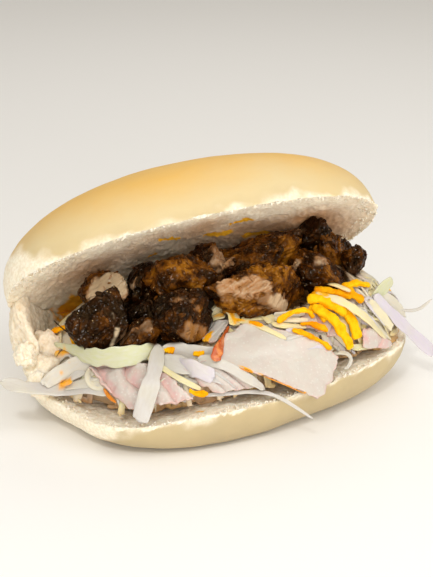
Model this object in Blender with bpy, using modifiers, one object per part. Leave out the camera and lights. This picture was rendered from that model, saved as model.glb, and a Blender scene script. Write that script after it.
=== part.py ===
"""Jerk chicken sandwich: a soft white roll, cut open and still joined along its back, filled
with cooked ham, shredded cabbage, grated cheese and chunks of jerk chicken.

Metres, +Z up. The origin is the middle of the roll's flat underside. +X runs along the roll
towards its wider open end, and -Y is the open front.
"""

import itertools
import math

import bmesh
import bpy
import numpy as np
from mathutils import Euler, Vector

# --- driving dimensions ---------------------------------------------------------------------
HALF_LENGTH = 0.0765  # of the roll's base, along X
HALF_WIDTH = 0.0460  # of the roll's base, along Y
PLAN_POWER = 2.1  # 2 would be a true ellipse
# angle round the base from +X, how much its outline swells there, and over what angle
OUTLINE_SWELLS = ((-163, -0.08, 15), (-3, 0.03, 9))
FRONT_SKEW = 0.17  # how much fuller the front is at its left than at its middle

RIM_HEIGHT = 0.0180  # of the base's cut edge
# angle round the rim, how much higher the cut runs there, and over what angle
RIM_RISES = ((-150, -0.0050, 32), (-20, 0.0020, 24))
END_LIFT = 0.0030  # how far the underside curls off the table at the right end
SIDE_ROUND = 0.0120  # how far in from the rim the underside reaches the table
END_ROUND = 0.0090  # how much further it does so at the two ends
BASE_DISH = 0.0030  # how far the filling presses the crumb down

LID_HALF_LENGTH = 0.0760
LID_LEFT_TRIM = 0.010  # how much shorter its left end is
LID_HALF_WIDTH = 0.0465
LID_DOME = 0.0352
LID_HOLLOW = 0.0075  # how far the crumb curves up into the lid
LID_CENTRE = Vector((-0.0055, 0.0120, 0.0550))
LID_TURN = Euler((math.radians(-44), math.radians(-7), math.radians(1)))
LID_FRONT_SAG = 0.0030  # how far the lid's front edge hangs below its plane

HINGE_FROM = math.radians(62)  # where along the rim the uncut bread starts and ends
HINGE_TO = math.radians(192)
HINGE_THICKNESS = 0.0095
HINGE_BULGE = 0.0030
TORN_LUMP = ((-0.0765, -0.0020, 0.0285), (0.0045, 0.0060, 0.0036))  # middle and half sizes

CRUMB_RELIEF = 0.0009  # lumps of the torn crumb

HEAP_REACH = 0.90  # how far out the cabbage reaches, as a share of the base's outline
HEAP_REACHES = ((8, 0.08, 40), (202, 0.06, 25), (90, -0.16, 55))
HEAP_LEFT = 0.0215  # height of the cabbage above the crumb, at the left, middle and right
HEAP_MIDDLE = 0.0215
HEAP_RIGHT = 0.0310
HEAP_BACK_RISE = 0.0090  # how much higher it stands towards the hinge
HEAP_LUMPS = 0.0006  # how uneven the packed cabbage is
HEAP_FLOOR_GAP = 0.0020  # from the crumb's mean face to the cabbage that lies on it
HEAP_LID_GAP = 0.0035  # from the cabbage up to the lid's cut plane

# Chunks of chicken: name, middle, half sizes, turn in degrees, seed
CHICKEN = (
    ("jerk_chicken_1", (-0.0487, -0.0130, 0.0444), (0.0112, 0.0095, 0.0104), (8, -24, 12), 11),
    ("jerk_chicken_2", (-0.0433, 0.0060, 0.0476), (0.0095, 0.0075, 0.0062), (0, -18, -10), 23),
    ("jerk_chicken_3", (-0.0164, -0.0020, 0.0518), (0.0122, 0.0100, 0.0108), (0, 24, 8), 37),
    ("jerk_chicken_4", (-0.0192, -0.0200, 0.0438), (0.0112, 0.0078, 0.0100), (0, -20, -8), 41),
    ("jerk_chicken_5", (-0.0353, -0.0190, 0.0383), (0.0078, 0.0060, 0.0048), (0, -22, 10), 53),
    ("jerk_chicken_7", (0.0149, -0.0105, 0.0483), (0.0200, 0.0086, 0.0098), (10, 14, 8), 71),
    ("jerk_chicken_8", (0.0393, -0.0020, 0.0504), (0.0125, 0.0080, 0.0070), (0, 14, -12), 83),
    ("jerk_chicken_9", (0.0487, 0.0118, 0.0525), (0.0140, 0.0075, 0.0085), (0, 32, 6), 97),
    ("jerk_chicken_10", (0.0171, 0.0090, 0.0546), (0.0175, 0.0080, 0.0070), (0, -8, 0), 101),
    ("jerk_chicken_11", (0.0578, 0.0045, 0.0514), (0.0045, 0.0045, 0.0042), (0, 20, 0), 113),
)
# Chunks wedged between those, in the same terms: each is cut back where it meets them
WEDGED = (
    ("jerk_chicken_6", (-0.0285, 0.0066, 0.0460), (0.0072, 0.0066, 0.0094), (0, 10, 0), 67),
    ("jerk_chicken_12", (-0.0035, 0.0035, 0.0535), (0.0070, 0.0075, 0.0105), (0, 0, 0), 131),
    ("jerk_chicken_13", (-0.0305, -0.0085, 0.0400), (0.0092, 0.0080, 0.0080), (0, 0, 0), 139),
    ("jerk_chicken_14", (0.0135, 0.0002, 0.0560), (0.0125, 0.0058, 0.0056), (0, -8, 0), 149),
    ("jerk_chicken_15", (0.0422, 0.0105, 0.0590), (0.0062, 0.0048, 0.0068), (0, 20, 0), 157),
    ("jerk_chicken_16", (0.0315, 0.0115, 0.0585), (0.0075, 0.0045, 0.0034), (0, -4, 0), 163),
    ("jerk_chicken_17", (0.0558, 0.0020, 0.0480), (0.0035, 0.0032, 0.0034), (0, 0, 0), 173),
)
CHUNK_SEGMENTS = 14
CHUNK_RINGS = 8
CHUNK_GAP = 0.0009  # between a chunk and the hollow it lies in
WEDGE_GAP = 0.0010  # between a wedged chunk and those it meets, in the terms of their half sizes

# Strips of cabbage lying on the heap or hanging from it: width, then the points of a smooth
# middle line, all in millimetres
SHRED_THICKNESS = 0.0012
SHREDS = (
    (6.2, ((-64.3, -1.3, 30.2), (-53.7, -10.8, 30.0), (-42.1, -17.6, 30.3), (-29.5, -20.7, 31.4))),
    (6.0, ((-29.0, -16.5, 31.4), (-34.9, -33.4, 32.9), (-40.4, -43.2, 27.6), (-43.9, -46.5, 19.2))),
    (5.0, ((-27.1, -20.3, 31.7), (-20.4, -27.1, 33.1), (-12.8, -28.9, 34.5))),
    (3.0, ((-67.9, -9.8, 16.8), (-58.0, -16.3, 24.4), (-47.0, -15.2, 29.8))),
    (3.0, ((-33.2, -24.9, 30.5), (-28.9, -32.3, 30.4), (-26.4, -37.3, 28.4))),
    (1.8, ((-2.0, -36.0, 20.0), (6.0, -41.8, 20.2), (15.2, -46.0, 17.4), (22.5, -49.0, 10.7))),
    (5.0, ((-53.9, -25.9, 20.8), (-63.9, -14.4, 17.4), (-77.4, -16.0, 21.4), (-87.1, -12.0, 23.3))),
    (6.0, ((60.6, -10.4, 40.0), (66.7, -12.9, 33.4), (77.0, -11.0, 22.8), (87.7, -12.0, 12.2))),
    (1.6, ((64.0, -9.0, 37.0), (74.5, -7.0, 31.5), (84.5, -3.0, 28.8), (92.0, 0.0, 31.2))),
    (4.0, ((49.3, -18.4, 39.5), (56.7, -20.5, 33.1), (67.3, -16.0, 22.5))),
    (6.0, ((55.1, -11.0, 40.9), (61.1, -7.8, 41.1), (66.5, -4.5, 40.3))),
    (5.0, ((64.0, -6.5, 39.5), (71.5, -3.0, 37.0), (76.0, -1.0, 32.0))),
    (2.0, ((39.8, -30.4, 25.5), (42.6, -29.6, 25.5), (44.5, -29.2, 22.0), (42.1, -30.3, 19.7))),
    (3.0, ((-8.0, -10.5, 36.8), (-3.5, -11.5, 38.4), (0.8, -14.0, 38.8))),
    (4.0, ((6.5, -21.4, 38.9), (13.0, -23.4, 37.7), (19.0, -25.6, 36.6))),
    (2.6, ((46.1, -27.9, 26.6), (51.5, -25.8, 25.4), (58.5, -22.2, 23.8))),
    (2.4, ((50.8, -4.1, 44.6), (56.4, -3.5, 44.6))),
    (5.0, ((-54.3, -14.9, 28.8), (-60.9, -12.4, 25.5), (-65.6, -9.5, 21.5), (-67.8, -5.9, 17.4))),
)

# Strips that fan down the heap's open right end: how many, between which angles from +X, how
# far out they start and end as a share of the heap, and how much further out they start where
# they pass below a chunk of chicken
FAN_STRIPS = 7
FAN_ANGLES = (-24, 58)
FAN_SHARES = (0.82, 0.985)
FAN_BELOW_CHUNK = ((13, 0.09, 16),)
FAN_LIFT = 0.0010
FAN_SEED = 5

# Coarsely grated cheese. Some strands lie alone on the cabbage and the rest in one tangle.
CHEESE_THICKNESS = 0.0034
LOOSE_CHEESE = (
    (3.0, ((-64.4, 6.3, 33.3), (-61.0, 3.1, 35.4), (-56.1, -0.0, 36.6))),
    (3.0, ((-58.2, -0.9, 35.2), (-57.5, -6.7, 31.8))),
    (4.0, ((67.0, -2.5, 40.3), (72.5, -1.0, 37.8))),
)
CHEESE = (
    (6.0, ((29.4, -19.8, 45.8), (35.0, -20.6, 45.8), (39.6, -23.8, 43.6), (44.4, -24.4, 41.0))),
    (5.0, ((30.1, -23.0, 44.8), (36.6, -28.6, 41.4), (40.6, -31.6, 35.2), (43.6, -32.2, 28.8))),
    (6.0, ((43.9, -22.9, 41.2), (46.8, -26.3, 36.2), (48.0, -28.6, 31.0))),
    (4.0, ((35.6, -10.4, 46.0), (41.7, -12.9, 45.3), (50.2, -15.8, 43.3))),
    (5.0, ((45.8, -10.8, 45.5), (50.3, -13.5, 43.9), (54.1, -16.7, 40.9))),
    (4.2, ((48.0, -10.8, 45.6), (54.4, -8.6, 45.6), (60.8, -7.4, 43.6))),
    (4.0, ((39.1, -13.3, 45.2), (41.0, -19.3, 44.0), (43.1, -22.6, 41.4))),
    (3.6, ((15.9, -25.2, 41.0), (22.6, -22.9, 43.2), (31.9, -21.0, 45.4))),
    (3.2, ((23.0, -23.0, 43.2), (28.2, -29.2, 41.4), (35.5, -33.0, 35.6))),
)

# Wafer-thin ham: name, top left, top right, bottom right and bottom left corner in
# millimetres, how far the middle bulges, the height of its folds and how many there are
HAM_THICKNESS = 0.0013
HAM = (
    (
        "ham_slice_large",
        ((1.6, -21.9, 40.1), (37.8, -31.1, 27.6), (23.1, -46.0, 14.5), (-15.3, -37.9, 34.2)),
        (3.5, 0.3, 2),
    ),
    (
        "ham_fold_left",
        ((-55.7, -15.1, 27.9), (-34.9, -29.0, 30.7), (-22.6, -42.5, 20.9), (-43.1, -37.5, 16.5)),
        (3.0, 1.0, 2),
    ),
    (
        "ham_fold_middle",
        ((-25.0, -31.7, 32.3), (-11.9, -36.5, 32.8), (5.5, -42.2, 22.8), (-13.7, -42.6, 23.0)),
        (1.0, 0.5, 1),
    ),
    (
        "ham_slice_right",
        ((27.0, -19.6, 41.5), (41.5, -23.6, 38.0), (38.5, -28.7, 31.5), (25.5, -27.2, 37.3)),
        (0.0, 0.2, 1),
    ),
    (
        "ham_slice_end",
        ((50.9, -24.5, 33.5), (58.0, -21.7, 31.0), (65.7, -19.0, 21.5), (49.2, -27.4, 26.9)),
        (1.0, 0.3, 1),
    ),
    (
        "ham_slice_top",
        ((-6.7, -15.3, 37.5), (0.6, -16.6, 39.2), (-9.0, -29.5, 36.2), (-13.4, -25.5, 35.8)),
        (1.0, 0.3, 1),
    ),
)
HAM_CELLS = ((9, 5), (8, 4))  # of the two largest slices and of the rest
HAM_CLEARANCE = 0.0019  # from a slice's middle to the mean face of what it lies on

# --- colours: sRGB turned linear, with roughness ----------------------------------------------
COLOURS = {
    "bread": ((0.83, 0.62, 0.33, 1), 0.75),
    "chicken": ((0.12, 0.045, 0.012, 1), 0.35),
    "cabbage": ((0.76, 0.78, 0.62, 1), 0.45),
    "cheese": ((0.95, 0.48, 0.03, 1), 0.55),
    "ham": ((0.82, 0.60, 0.57, 1), 0.40),
}


# --- helpers --------------------------------------------------------------------------------
def clear_scene():
    for obj in list(bpy.data.objects):
        bpy.data.objects.remove(obj)


def material(name):
    """A Principled material of the named colour, made once."""
    found = bpy.data.materials.get(name)
    if found:
        return found
    colour, roughness = COLOURS[name]
    made = bpy.data.materials.new(name)
    made.use_nodes = True
    shader = made.node_tree.nodes["Principled BSDF"]
    shader.inputs["Base Color"].default_value = colour
    shader.inputs["Roughness"].default_value = roughness
    shader.inputs["Metallic"].default_value = 0.0
    return made


def lattice_noise(points, seed):
    """Smooth noise from -1 to 1: random values on a unit lattice, blended by a smoothstep."""
    cell = np.floor(points).astype(np.int64)
    part = points - cell
    ease = part * part * (3 - 2 * part)
    total = np.zeros(len(points))
    for corner in itertools.product((0, 1), repeat=3):
        at = cell + corner
        mixed = at[:, 0] * 73856093 ^ at[:, 1] * 19349663 ^ at[:, 2] * 83492791 ^ seed * 265443576
        mixed = (mixed ^ (mixed >> 13)) * 1274126177 & 0x7FFFFFFF
        value = ((mixed ^ (mixed >> 16)) & 0xFFFF) / 0x7FFF - 1
        total += value * np.prod(np.where(corner, ease, 1 - ease), axis=1)
    return total


def link(obj):
    COLLECTION.objects.link(obj)
    return obj


def shaped_sphere(name, segments, rings, place):
    """A UV sphere whose points on the unit sphere are moved by place()."""
    mesh = bpy.data.meshes.new(name)
    shell = bmesh.new()
    bmesh.ops.create_uvsphere(shell, u_segments=segments, v_segments=rings, radius=1)
    shell.to_mesh(mesh)
    shell.free()
    unit = np.array([v.co for v in mesh.vertices], float)
    mesh.vertices.foreach_set("co", place(unit).astype(np.float32).ravel())
    mesh.update()
    return link(bpy.data.objects.new(name, mesh))


def keep_outer_shell(mesh):
    """Drops loose scraps, and fills sealed hollows by dropping the shells inside."""
    shape = bmesh.new()
    shape.from_mesh(mesh)
    unseen = set(shape.verts)
    shells = []
    while unseen:
        shell = {unseen.pop()}
        edge = list(shell)
        while edge:
            edge = [e.other_vert(v) for v in edge for e in v.link_edges]
            edge = [v for v in set(edge) if v in unseen]
            unseen.difference_update(edge)
            shell.update(edge)
        shells.append(shell)
    spans = [max(v.co.x for v in shell) - min(v.co.x for v in shell) for shell in shells]
    outer = shells[spans.index(max(spans))]
    bmesh.ops.delete(shape, geom=[v for v in shape.verts if v not in outer])
    shape.to_mesh(mesh)
    shape.free()


def combine(name, first, others, operation):
    """One Boolean on a collection of closed meshes, applied; the meshes are removed."""
    tools = bpy.data.collections.new(name + "_tools")
    for other in others:
        COLLECTION.objects.unlink(other)
        tools.objects.link(other)
    change = first.modifiers.new(name, "BOOLEAN")
    change.operation = operation
    change.operand_type = "COLLECTION"
    change.collection = tools
    change.solver = "MANIFOLD"
    bpy.context.view_layer.update()
    graph = bpy.context.evaluated_depsgraph_get()
    joined = bpy.data.meshes.new_from_object(first.evaluated_get(graph))
    for used in [first, *others]:
        bpy.data.objects.remove(used)
    bpy.data.collections.remove(tools)
    keep_outer_shell(joined)
    return link(bpy.data.objects.new(name, joined))


def finish(obj, colour, sharp=50):
    obj.data.materials.clear()
    obj.data.materials.append(material(colour))
    obj.data.shade_smooth()
    obj.data.set_sharp_from_angle(angle=math.radians(sharp))
    return obj


def signed_power(value, power):
    return np.sign(value) * np.abs(value) ** power


# --- the roll -------------------------------------------------------------------------------
def bumps(angle, table):
    """The sum of the bell-shaped swells of a table, at an angle round the roll."""
    total = 0 * angle
    for middle, size, width in table:
        away = np.angle(np.exp(1j * (angle - math.radians(middle)))) / math.radians(width)
        total = total + size * np.exp(-(away**2))
    return total


def base_outline(angle):
    """The base's plan outline at an angle round it, from +X."""
    width = HALF_WIDTH * (1 - FRONT_SKEW * np.cos(angle) * (np.sin(angle) < 0))
    across = np.abs(np.cos(angle) / HALF_LENGTH) ** PLAN_POWER
    across = across + np.abs(np.sin(angle) / width) ** PLAN_POWER
    reach = across ** (-1 / PLAN_POWER) * (1 + bumps(angle, OUTLINE_SWELLS))
    return reach * np.cos(angle), reach * np.sin(angle)


def rim_height(angle):
    """The height of the base's cut edge round the roll."""
    return RIM_HEIGHT + bumps(angle, RIM_RISES)


def base_lift(x):
    """How far the underside curls off the table towards the right end."""
    return END_LIFT * np.clip((x / HALF_LENGTH - 0.55) / 0.45, 0, 1) ** 2


def outline_share(x, y):
    """How far out a place in plan is: 0 at the middle, 1 on the base's outline."""
    edge_x, edge_y = base_outline(np.arctan2(y, x))
    return np.hypot(x, y) / np.hypot(edge_x, edge_y)


def crumb_relief(points, seed):
    return CRUMB_RELIEF * (
        lattice_noise(points / 0.0090, seed) + 0.6 * lattice_noise(points / 0.0045, seed + 1)
    )


def crumb_height(x, y):
    """The base's dished crumb, without its relief."""
    share = np.clip(outline_share(x, y), 0, 1)
    return rim_height(np.arctan2(y, x)) - BASE_DISH * (1 - share**2)


def base_shape(unit):
    """Below the equator a rounded side and a flat underside; above it the dished crumb."""
    angle = np.arctan2(unit[:, 1], unit[:, 0])
    tilt = np.arcsin(np.clip(unit[:, 2], -1, 1)) / (math.pi / 2)
    edge_x, edge_y = base_outline(angle)
    reach = np.hypot(edge_x, edge_y)
    side = np.clip(-tilt / 0.6, 0, 1) * math.pi / 2
    inset = (SIDE_ROUND + END_ROUND * np.cos(angle) ** 2) * (1 - np.cos(side))
    flat = np.clip((-tilt - 0.6) / 0.4, 0, 1)
    under = (1 - inset / reach) * (1 - flat)
    share = np.where(tilt < 0, under, np.cos(tilt * math.pi / 2))
    x, y = edge_x * share, edge_y * share
    rim = rim_height(angle)
    z_under = (rim - base_lift(edge_x)) * (1 - np.sin(side) ** 0.9) + base_lift(x) * (1 - flat)
    z_crumb = rim - BASE_DISH * (1 - share**2)
    points = np.stack([x, y, np.where(tilt < 0, z_under, z_crumb)], axis=1)
    crumb = np.clip(tilt / 0.08, 0, 1)
    points[:, 2] += crumb * crumb_relief(points, 5)
    on_table = flat > 0
    points[on_table, 2] = 0.0
    return points


def lid_outline(angle):
    """The lid's outline in its own plane, at an angle round it from +X."""
    length = LID_HALF_LENGTH * (1 - LID_LEFT_TRIM * (1 - np.cos(angle)) / 2)
    x = length * signed_power(np.cos(angle), 2 / PLAN_POWER)
    return x, LID_HALF_WIDTH * signed_power(np.sin(angle), 2 / PLAN_POWER)


def lid_to_world(points):
    return points @ np.array(LID_TURN.to_matrix()).T + np.array(LID_CENTRE)


def lid_shape(unit):
    """Above the equator the crusty dome; below it the crumb, hollowed upwards."""
    angle = np.arctan2(unit[:, 1], unit[:, 0])
    tilt = np.arcsin(np.clip(unit[:, 2], -1, 1))
    share = np.cos(tilt) ** 0.88
    edge_x, edge_y = lid_outline(angle)
    swell = 1 + 0.02 * np.sin(np.clip(tilt, 0, None) * 2)
    x, y = edge_x * share * swell, edge_y * share * swell
    dome = LID_DOME * np.sin(np.clip(tilt, 0, None)) ** 0.9
    hollow = LID_HOLLOW * (1 - share**2)
    sag = LID_FRONT_SAG * np.clip(-y / LID_HALF_WIDTH, 0, 1) ** 2
    z = np.where(tilt > 0, dome, hollow) - sag
    points = np.stack([x, y, z], axis=1)
    crumb = np.clip(-tilt / 0.12, 0, 1)
    points[:, 2] += crumb * crumb_relief(points, 8)
    return lid_to_world(points)


def hinge_shape(unit):
    """The uncut bread at the back: a thick band from the base's rim up to the lid's."""
    along = 0.5 + np.arcsin(np.clip(unit[:, 2], -1, 1)) / math.pi
    around = np.arctan2(unit[:, 1], unit[:, 0])
    girth = np.hypot(unit[:, 0], unit[:, 1])
    taper = np.clip(girth * 3, 0, 1)
    angle = HINGE_TO + (HINGE_FROM - HINGE_TO) * along
    base_x, base_y = base_outline(angle)
    low = np.stack([base_x, base_y, rim_height(angle) - 0.004], axis=1)
    lid_x, lid_y = lid_outline(angle)
    high = lid_to_world(np.stack([lid_x, lid_y, np.full(len(angle), 0.004)], axis=1))
    outward = np.stack([np.cos(angle), np.sin(angle), 0 * angle], axis=1)
    rise = (np.sin(around) * taper + 1) / 2
    depth = signed_power(np.cos(around), 0.6) * taper * HINGE_THICKNESS / 2
    inset = HINGE_THICKNESS / 2 + 0.0010
    middle = low + (high - low) * rise[:, None]
    bulge = HINGE_BULGE * np.sin(rise * math.pi)
    return middle + outward * (depth - inset + bulge)[:, None]


def make_roll():
    base = shaped_sphere("base_half", 44, 18, base_shape)
    lid = shaped_sphere("lid_half", 44, 16, lid_shape)
    hinge = shaped_sphere("hinge_band", 12, 20, hinge_shape)
    middle, half = (np.array(row) for row in TORN_LUMP)
    lump = shaped_sphere("torn_lump", 10, 6, lambda unit: middle + half * unit)
    return finish(combine("bread_roll", base, [lid, hinge, lump], "UNION"), "bread")


# --- the filling ----------------------------------------------------------------------------
def heap_reach(angle):
    return HEAP_REACH + bumps(angle, HEAP_REACHES)


def heap_share(x, y):
    """How far out a place in plan is: 0 at the middle of the heap, 1 at its edge."""
    return outline_share(x, y) / heap_reach(np.arctan2(y, x))


def heap_height(x, y):
    """How high the cabbage stands above the crumb at a place in plan."""
    along = np.clip(x / HALF_LENGTH, -1, 1)
    tall = HEAP_MIDDLE + (HEAP_RIGHT - HEAP_LEFT) / 2 * along
    tall = tall + ((HEAP_RIGHT + HEAP_LEFT) / 2 - HEAP_MIDDLE) * along**2
    tall = tall + HEAP_BACK_RISE * np.clip((y + 0.012) / 0.020, 0, 1)
    return tall * (1 - np.clip(heap_share(x, y), 0, 1) ** 4) ** 0.5


def lid_underside(x, y):
    """The height of the lid's cut plane over a place in plan."""
    up = np.array(LID_TURN.to_matrix())[:, 2]
    return LID_CENTRE.z - (up[0] * (x - LID_CENTRE.x) + up[1] * (y - LID_CENTRE.y)) / up[2]


def heap_top(x, y):
    free = crumb_height(x, y) + 0.001 + heap_height(x, y)
    return np.minimum(free, lid_underside(x, y) - HEAP_LID_GAP)


def buried(points):
    """Which points lie inside the heap or the base."""
    x, y, z = points.T
    in_heap = (heap_share(x, y) < 1) & (z < heap_top(x, y))
    return in_heap | ((outline_share(x, y) < 1) & (z < crumb_height(x, y)))


def heap_shape(unit):
    """The core of the heap: lumpy above, and lying on the crumb below."""
    angle = np.arctan2(unit[:, 1], unit[:, 0])
    tilt = np.arcsin(np.clip(unit[:, 2], -1, 1))
    share = np.cos(tilt) ** 0.75 * heap_reach(angle)
    edge_x, edge_y = base_outline(angle)
    x, y = edge_x * share, edge_y * share
    floor = crumb_height(x, y) + HEAP_FLOOR_GAP
    points = np.stack([x, y, heap_top(x, y)], axis=1)
    lumps = HEAP_LUMPS * lattice_noise(points / 0.007, 61)
    top = np.maximum(points[:, 2] + lumps, floor + 0.0005)
    points[:, 2] = np.where(tilt > 0, top, floor)
    return points


def chunk_shape(unit, size, seed):
    """A chopped lump: a rounded box pushed in and out by noise and sliced by knife cuts."""
    rng = np.random.default_rng(seed)
    points = signed_power(unit, 0.85)
    swell = 1 + 0.18 * lattice_noise(unit * 1.7 + seed, seed) + 0.10 * lattice_noise(unit * 4.1, seed)
    points = points * swell[:, None]
    for _ in range(6):
        normal = rng.normal(size=3)
        normal /= np.linalg.norm(normal)
        over = np.clip(points @ normal - rng.uniform(0.60, 0.82), 0, None)
        points = points - 0.95 * over[:, None] * normal
    return points * np.array(size)


def chunk(name, middle, size, turn, seed, grow=0.0):
    """A chunk of chicken, or the hollow it needs when it is grown by the gap."""
    grown = [half + grow for half in size]
    lump = shaped_sphere(name, CHUNK_SEGMENTS, CHUNK_RINGS, lambda unit: chunk_shape(unit, grown, seed))
    place = Euler([math.radians(angle) for angle in turn]).to_matrix().to_4x4()
    place.translation = Vector(middle)
    lump.data.transform(place)
    return lump


def facing(points):
    """The direction a strip on the heap looks: up in the middle, outwards at the edges."""
    out = np.stack([0.6 * (points[:, 0] / HALF_LENGTH) ** 3, points[:, 1] / 0.040], axis=1)
    out = np.column_stack([out, np.full(len(points), 0.8)])
    return out / np.linalg.norm(out, axis=1)[:, None]


def curve(points, share):
    """A smooth curve through the points: a Catmull-Rom spline."""
    ends = np.vstack([2 * points[0] - points[1], points, 2 * points[-1] - points[-2]])
    at = np.clip(share, 0, 1) * (len(points) - 1)
    first = np.minimum(at.astype(int), len(points) - 2)
    t = (at - first)[:, None]
    a, b, c, d = (ends[first + step] for step in range(4))
    return b + 0.5 * t * (c - a + t * (2 * a - 5 * b + 4 * c - d + t * (3 * (b - c) + d - a)))


def strand(name, width, points, thickness, rings=8):
    """A flat strip of square section along a smooth curve, narrowing at its two ends."""
    path = np.array(points) / 1000

    def place(unit):
        share = 0.5 + np.arcsin(np.clip(unit[:, 2], -1, 1)) / math.pi
        middle = curve(path, share)
        ahead = curve(path, share + 0.01) - curve(path, share - 0.01)
        ahead /= np.linalg.norm(ahead, axis=1)[:, None]
        side = np.cross(ahead, facing(middle))
        side /= np.linalg.norm(side, axis=1)[:, None]
        up = np.cross(ahead, side)
        angle = np.arctan2(unit[:, 1], unit[:, 0]) + math.pi / 4
        girth = np.clip(1 - unit[:, 2] ** 2, 0, 1) ** 0.1 / math.sqrt(2)
        across = np.cos(angle) * girth * width / 1000
        return middle + side * across[:, None] + up * (np.sin(angle) * girth * thickness)[:, None]

    return shaped_sphere(name, 4, rings, place)


def fan_strips():
    """Width and points, in millimetres, of each strip that fans down the heap's right end."""
    rng = np.random.default_rng(FAN_SEED)
    first, last = FAN_ANGLES
    for step in range(FAN_STRIPS):
        start = first + (last - first) * step / (FAN_STRIPS - 1)
        angle = np.radians(start + np.array((0.0, 0.5, 1.0)) * rng.uniform(-16, 16))
        share = np.linspace(*FAN_SHARES, 3) + bumps(angle, FAN_BELOW_CHUNK) * (1, 0.5, 0)
        reach = share * heap_reach(angle)
        edge_x, edge_y = base_outline(angle)
        x, y = edge_x * reach, edge_y * reach
        out = FAN_LIFT * np.stack([np.cos(angle), np.sin(angle), 0.4 + 0 * angle], axis=1)
        points = np.stack([x, y, heap_top(x, y)], axis=1) + out
        yield rng.uniform(2.5, 4.5), points * 1000


def make_slaw():
    """The heap of cabbage, hollowed where the chicken lies, with its loose strips fused on."""
    core = shaped_sphere("slaw_core", 40, 14, heap_shape)
    hollows = [chunk("hollow", *row[1:], grow=CHUNK_GAP) for row in (*CHICKEN, *WEDGED)]
    core = combine("slaw_hollowed", core, hollows, "DIFFERENCE")
    strips = [strand("shred", *row, SHRED_THICKNESS) for row in SHREDS]
    strips += [strand("shred", *row, SHRED_THICKNESS, rings=7) for row in fan_strips()]
    strips += [strand("cheese", *row, CHEESE_THICKNESS) for row in LOOSE_CHEESE]
    return finish(combine("slaw", core, strips, "UNION"), "cabbage")


def make_chicken():
    for row in CHICKEN:
        finish(chunk(*row), "chicken", 40)
    for place, row in enumerate(WEDGED):
        met = (*CHICKEN, *WEDGED[:place])
        met = [chunk("met", *other[1:], grow=WEDGE_GAP) for other in met]
        finish(combine(row[0], chunk(*row), met, "DIFFERENCE"), "chicken", 40)


def make_cheese():
    first, *others = [strand("cheese", *row, CHEESE_THICKNESS) for row in CHEESE]
    return finish(combine("grated_cheese", first, others, "UNION"), "cheese")


def ham_place(flat, corners, bulge, fold, folds):
    """The middle surface of a slice: a plane between four corners, bulged and folded."""
    top_left, top_right, low_right, low_left = (np.array(corner) / 1000 for corner in corners)
    across = (flat[:, :1] + 1) / 2
    down = (1 - flat[:, 1:2]) / 2
    top = top_left + (top_right - top_left) * across
    low = low_left + (low_right - low_left) * across
    normal = np.cross(low_left - top_left, top_right - top_left)
    normal /= np.linalg.norm(normal)
    lift = bulge * np.sin(math.pi * across) ** 0.8
    lift = lift + fold * np.sin(2 * math.pi * folds * across + 2.2 * down)
    ragged = 0.9 * lattice_noise(flat * 3.1 + 7, 3)[:, None] * np.abs(flat).max(1)[:, None] ** 3
    slide = (top_right - top_left) / np.linalg.norm(top_right - top_left)
    placed = top + (low - top) * down + normal * lift / 1000 + slide * ragged / 1000
    for _ in range(60):
        deep = buried(placed - normal * HAM_CLEARANCE)
        placed = placed + normal * 0.0002 * deep[:, None]
    return placed


def make_ham():
    for place, (name, corners, (bulge, fold, folds)) in enumerate(HAM):
        mesh = bpy.data.meshes.new(name)
        grid = bmesh.new()
        columns, rows = HAM_CELLS[min(place // 2, 1)]
        bmesh.ops.create_grid(grid, x_segments=columns, y_segments=rows, size=1)
        bmesh.ops.triangulate(grid, faces=grid.faces[:])
        grid.to_mesh(mesh)
        grid.free()
        flat = np.array([v.co for v in mesh.vertices], float)
        placed = ham_place(flat, corners, bulge, fold, folds)
        mesh.vertices.foreach_set("co", placed.astype(np.float32).ravel())
        mesh.update()
        slice_ = link(bpy.data.objects.new(name, mesh))
        solid = slice_.modifiers.new("thickness", "SOLIDIFY")
        solid.thickness = HAM_THICKNESS
        solid.offset = 0
        finish(slice_, "ham")


clear_scene()
COLLECTION = bpy.data.collections.new("jerk_chicken_sandwich")
bpy.context.scene.collection.children.link(COLLECTION)
make_roll()
make_slaw()
make_chicken()
make_ham()
make_cheese()
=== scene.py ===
"""Jerk chicken sandwich: the finish of every piece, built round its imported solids.

Metres, +Z up. The origin is the middle of the roll's flat underside, +X runs along the roll and
-Y is its open front. Shapes are worked out with numpy as functions of two parameters.
"""

import itertools
import math

import bpy
import numpy as np
from bpy.props import FloatProperty, FloatVectorProperty, IntProperty, PointerProperty
from mathutils import Euler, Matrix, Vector


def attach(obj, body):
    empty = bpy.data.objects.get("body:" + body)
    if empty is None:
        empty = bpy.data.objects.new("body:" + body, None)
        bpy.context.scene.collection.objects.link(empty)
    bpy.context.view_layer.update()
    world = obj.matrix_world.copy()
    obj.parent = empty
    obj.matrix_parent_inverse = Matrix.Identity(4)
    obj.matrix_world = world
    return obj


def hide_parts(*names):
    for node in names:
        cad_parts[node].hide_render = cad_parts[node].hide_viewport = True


bl_info = {
    "name": "Jerk Chicken Sandwich",
    "version": (1, 0, 0),
    "blender": (4, 5, 0),
    "location": "3D View > Sidebar > Sandwich",
    "description": "Builds a split white roll filled with jerk chicken, ham, cabbage and cheese",
    "category": "Add Mesh",
}

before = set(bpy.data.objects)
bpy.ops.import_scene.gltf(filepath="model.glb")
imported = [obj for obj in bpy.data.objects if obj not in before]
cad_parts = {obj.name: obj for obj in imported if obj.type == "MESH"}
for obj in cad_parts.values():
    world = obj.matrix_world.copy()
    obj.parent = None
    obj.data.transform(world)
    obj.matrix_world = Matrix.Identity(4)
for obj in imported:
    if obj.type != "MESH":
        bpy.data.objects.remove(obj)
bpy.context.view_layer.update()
MM = 0.001

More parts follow.
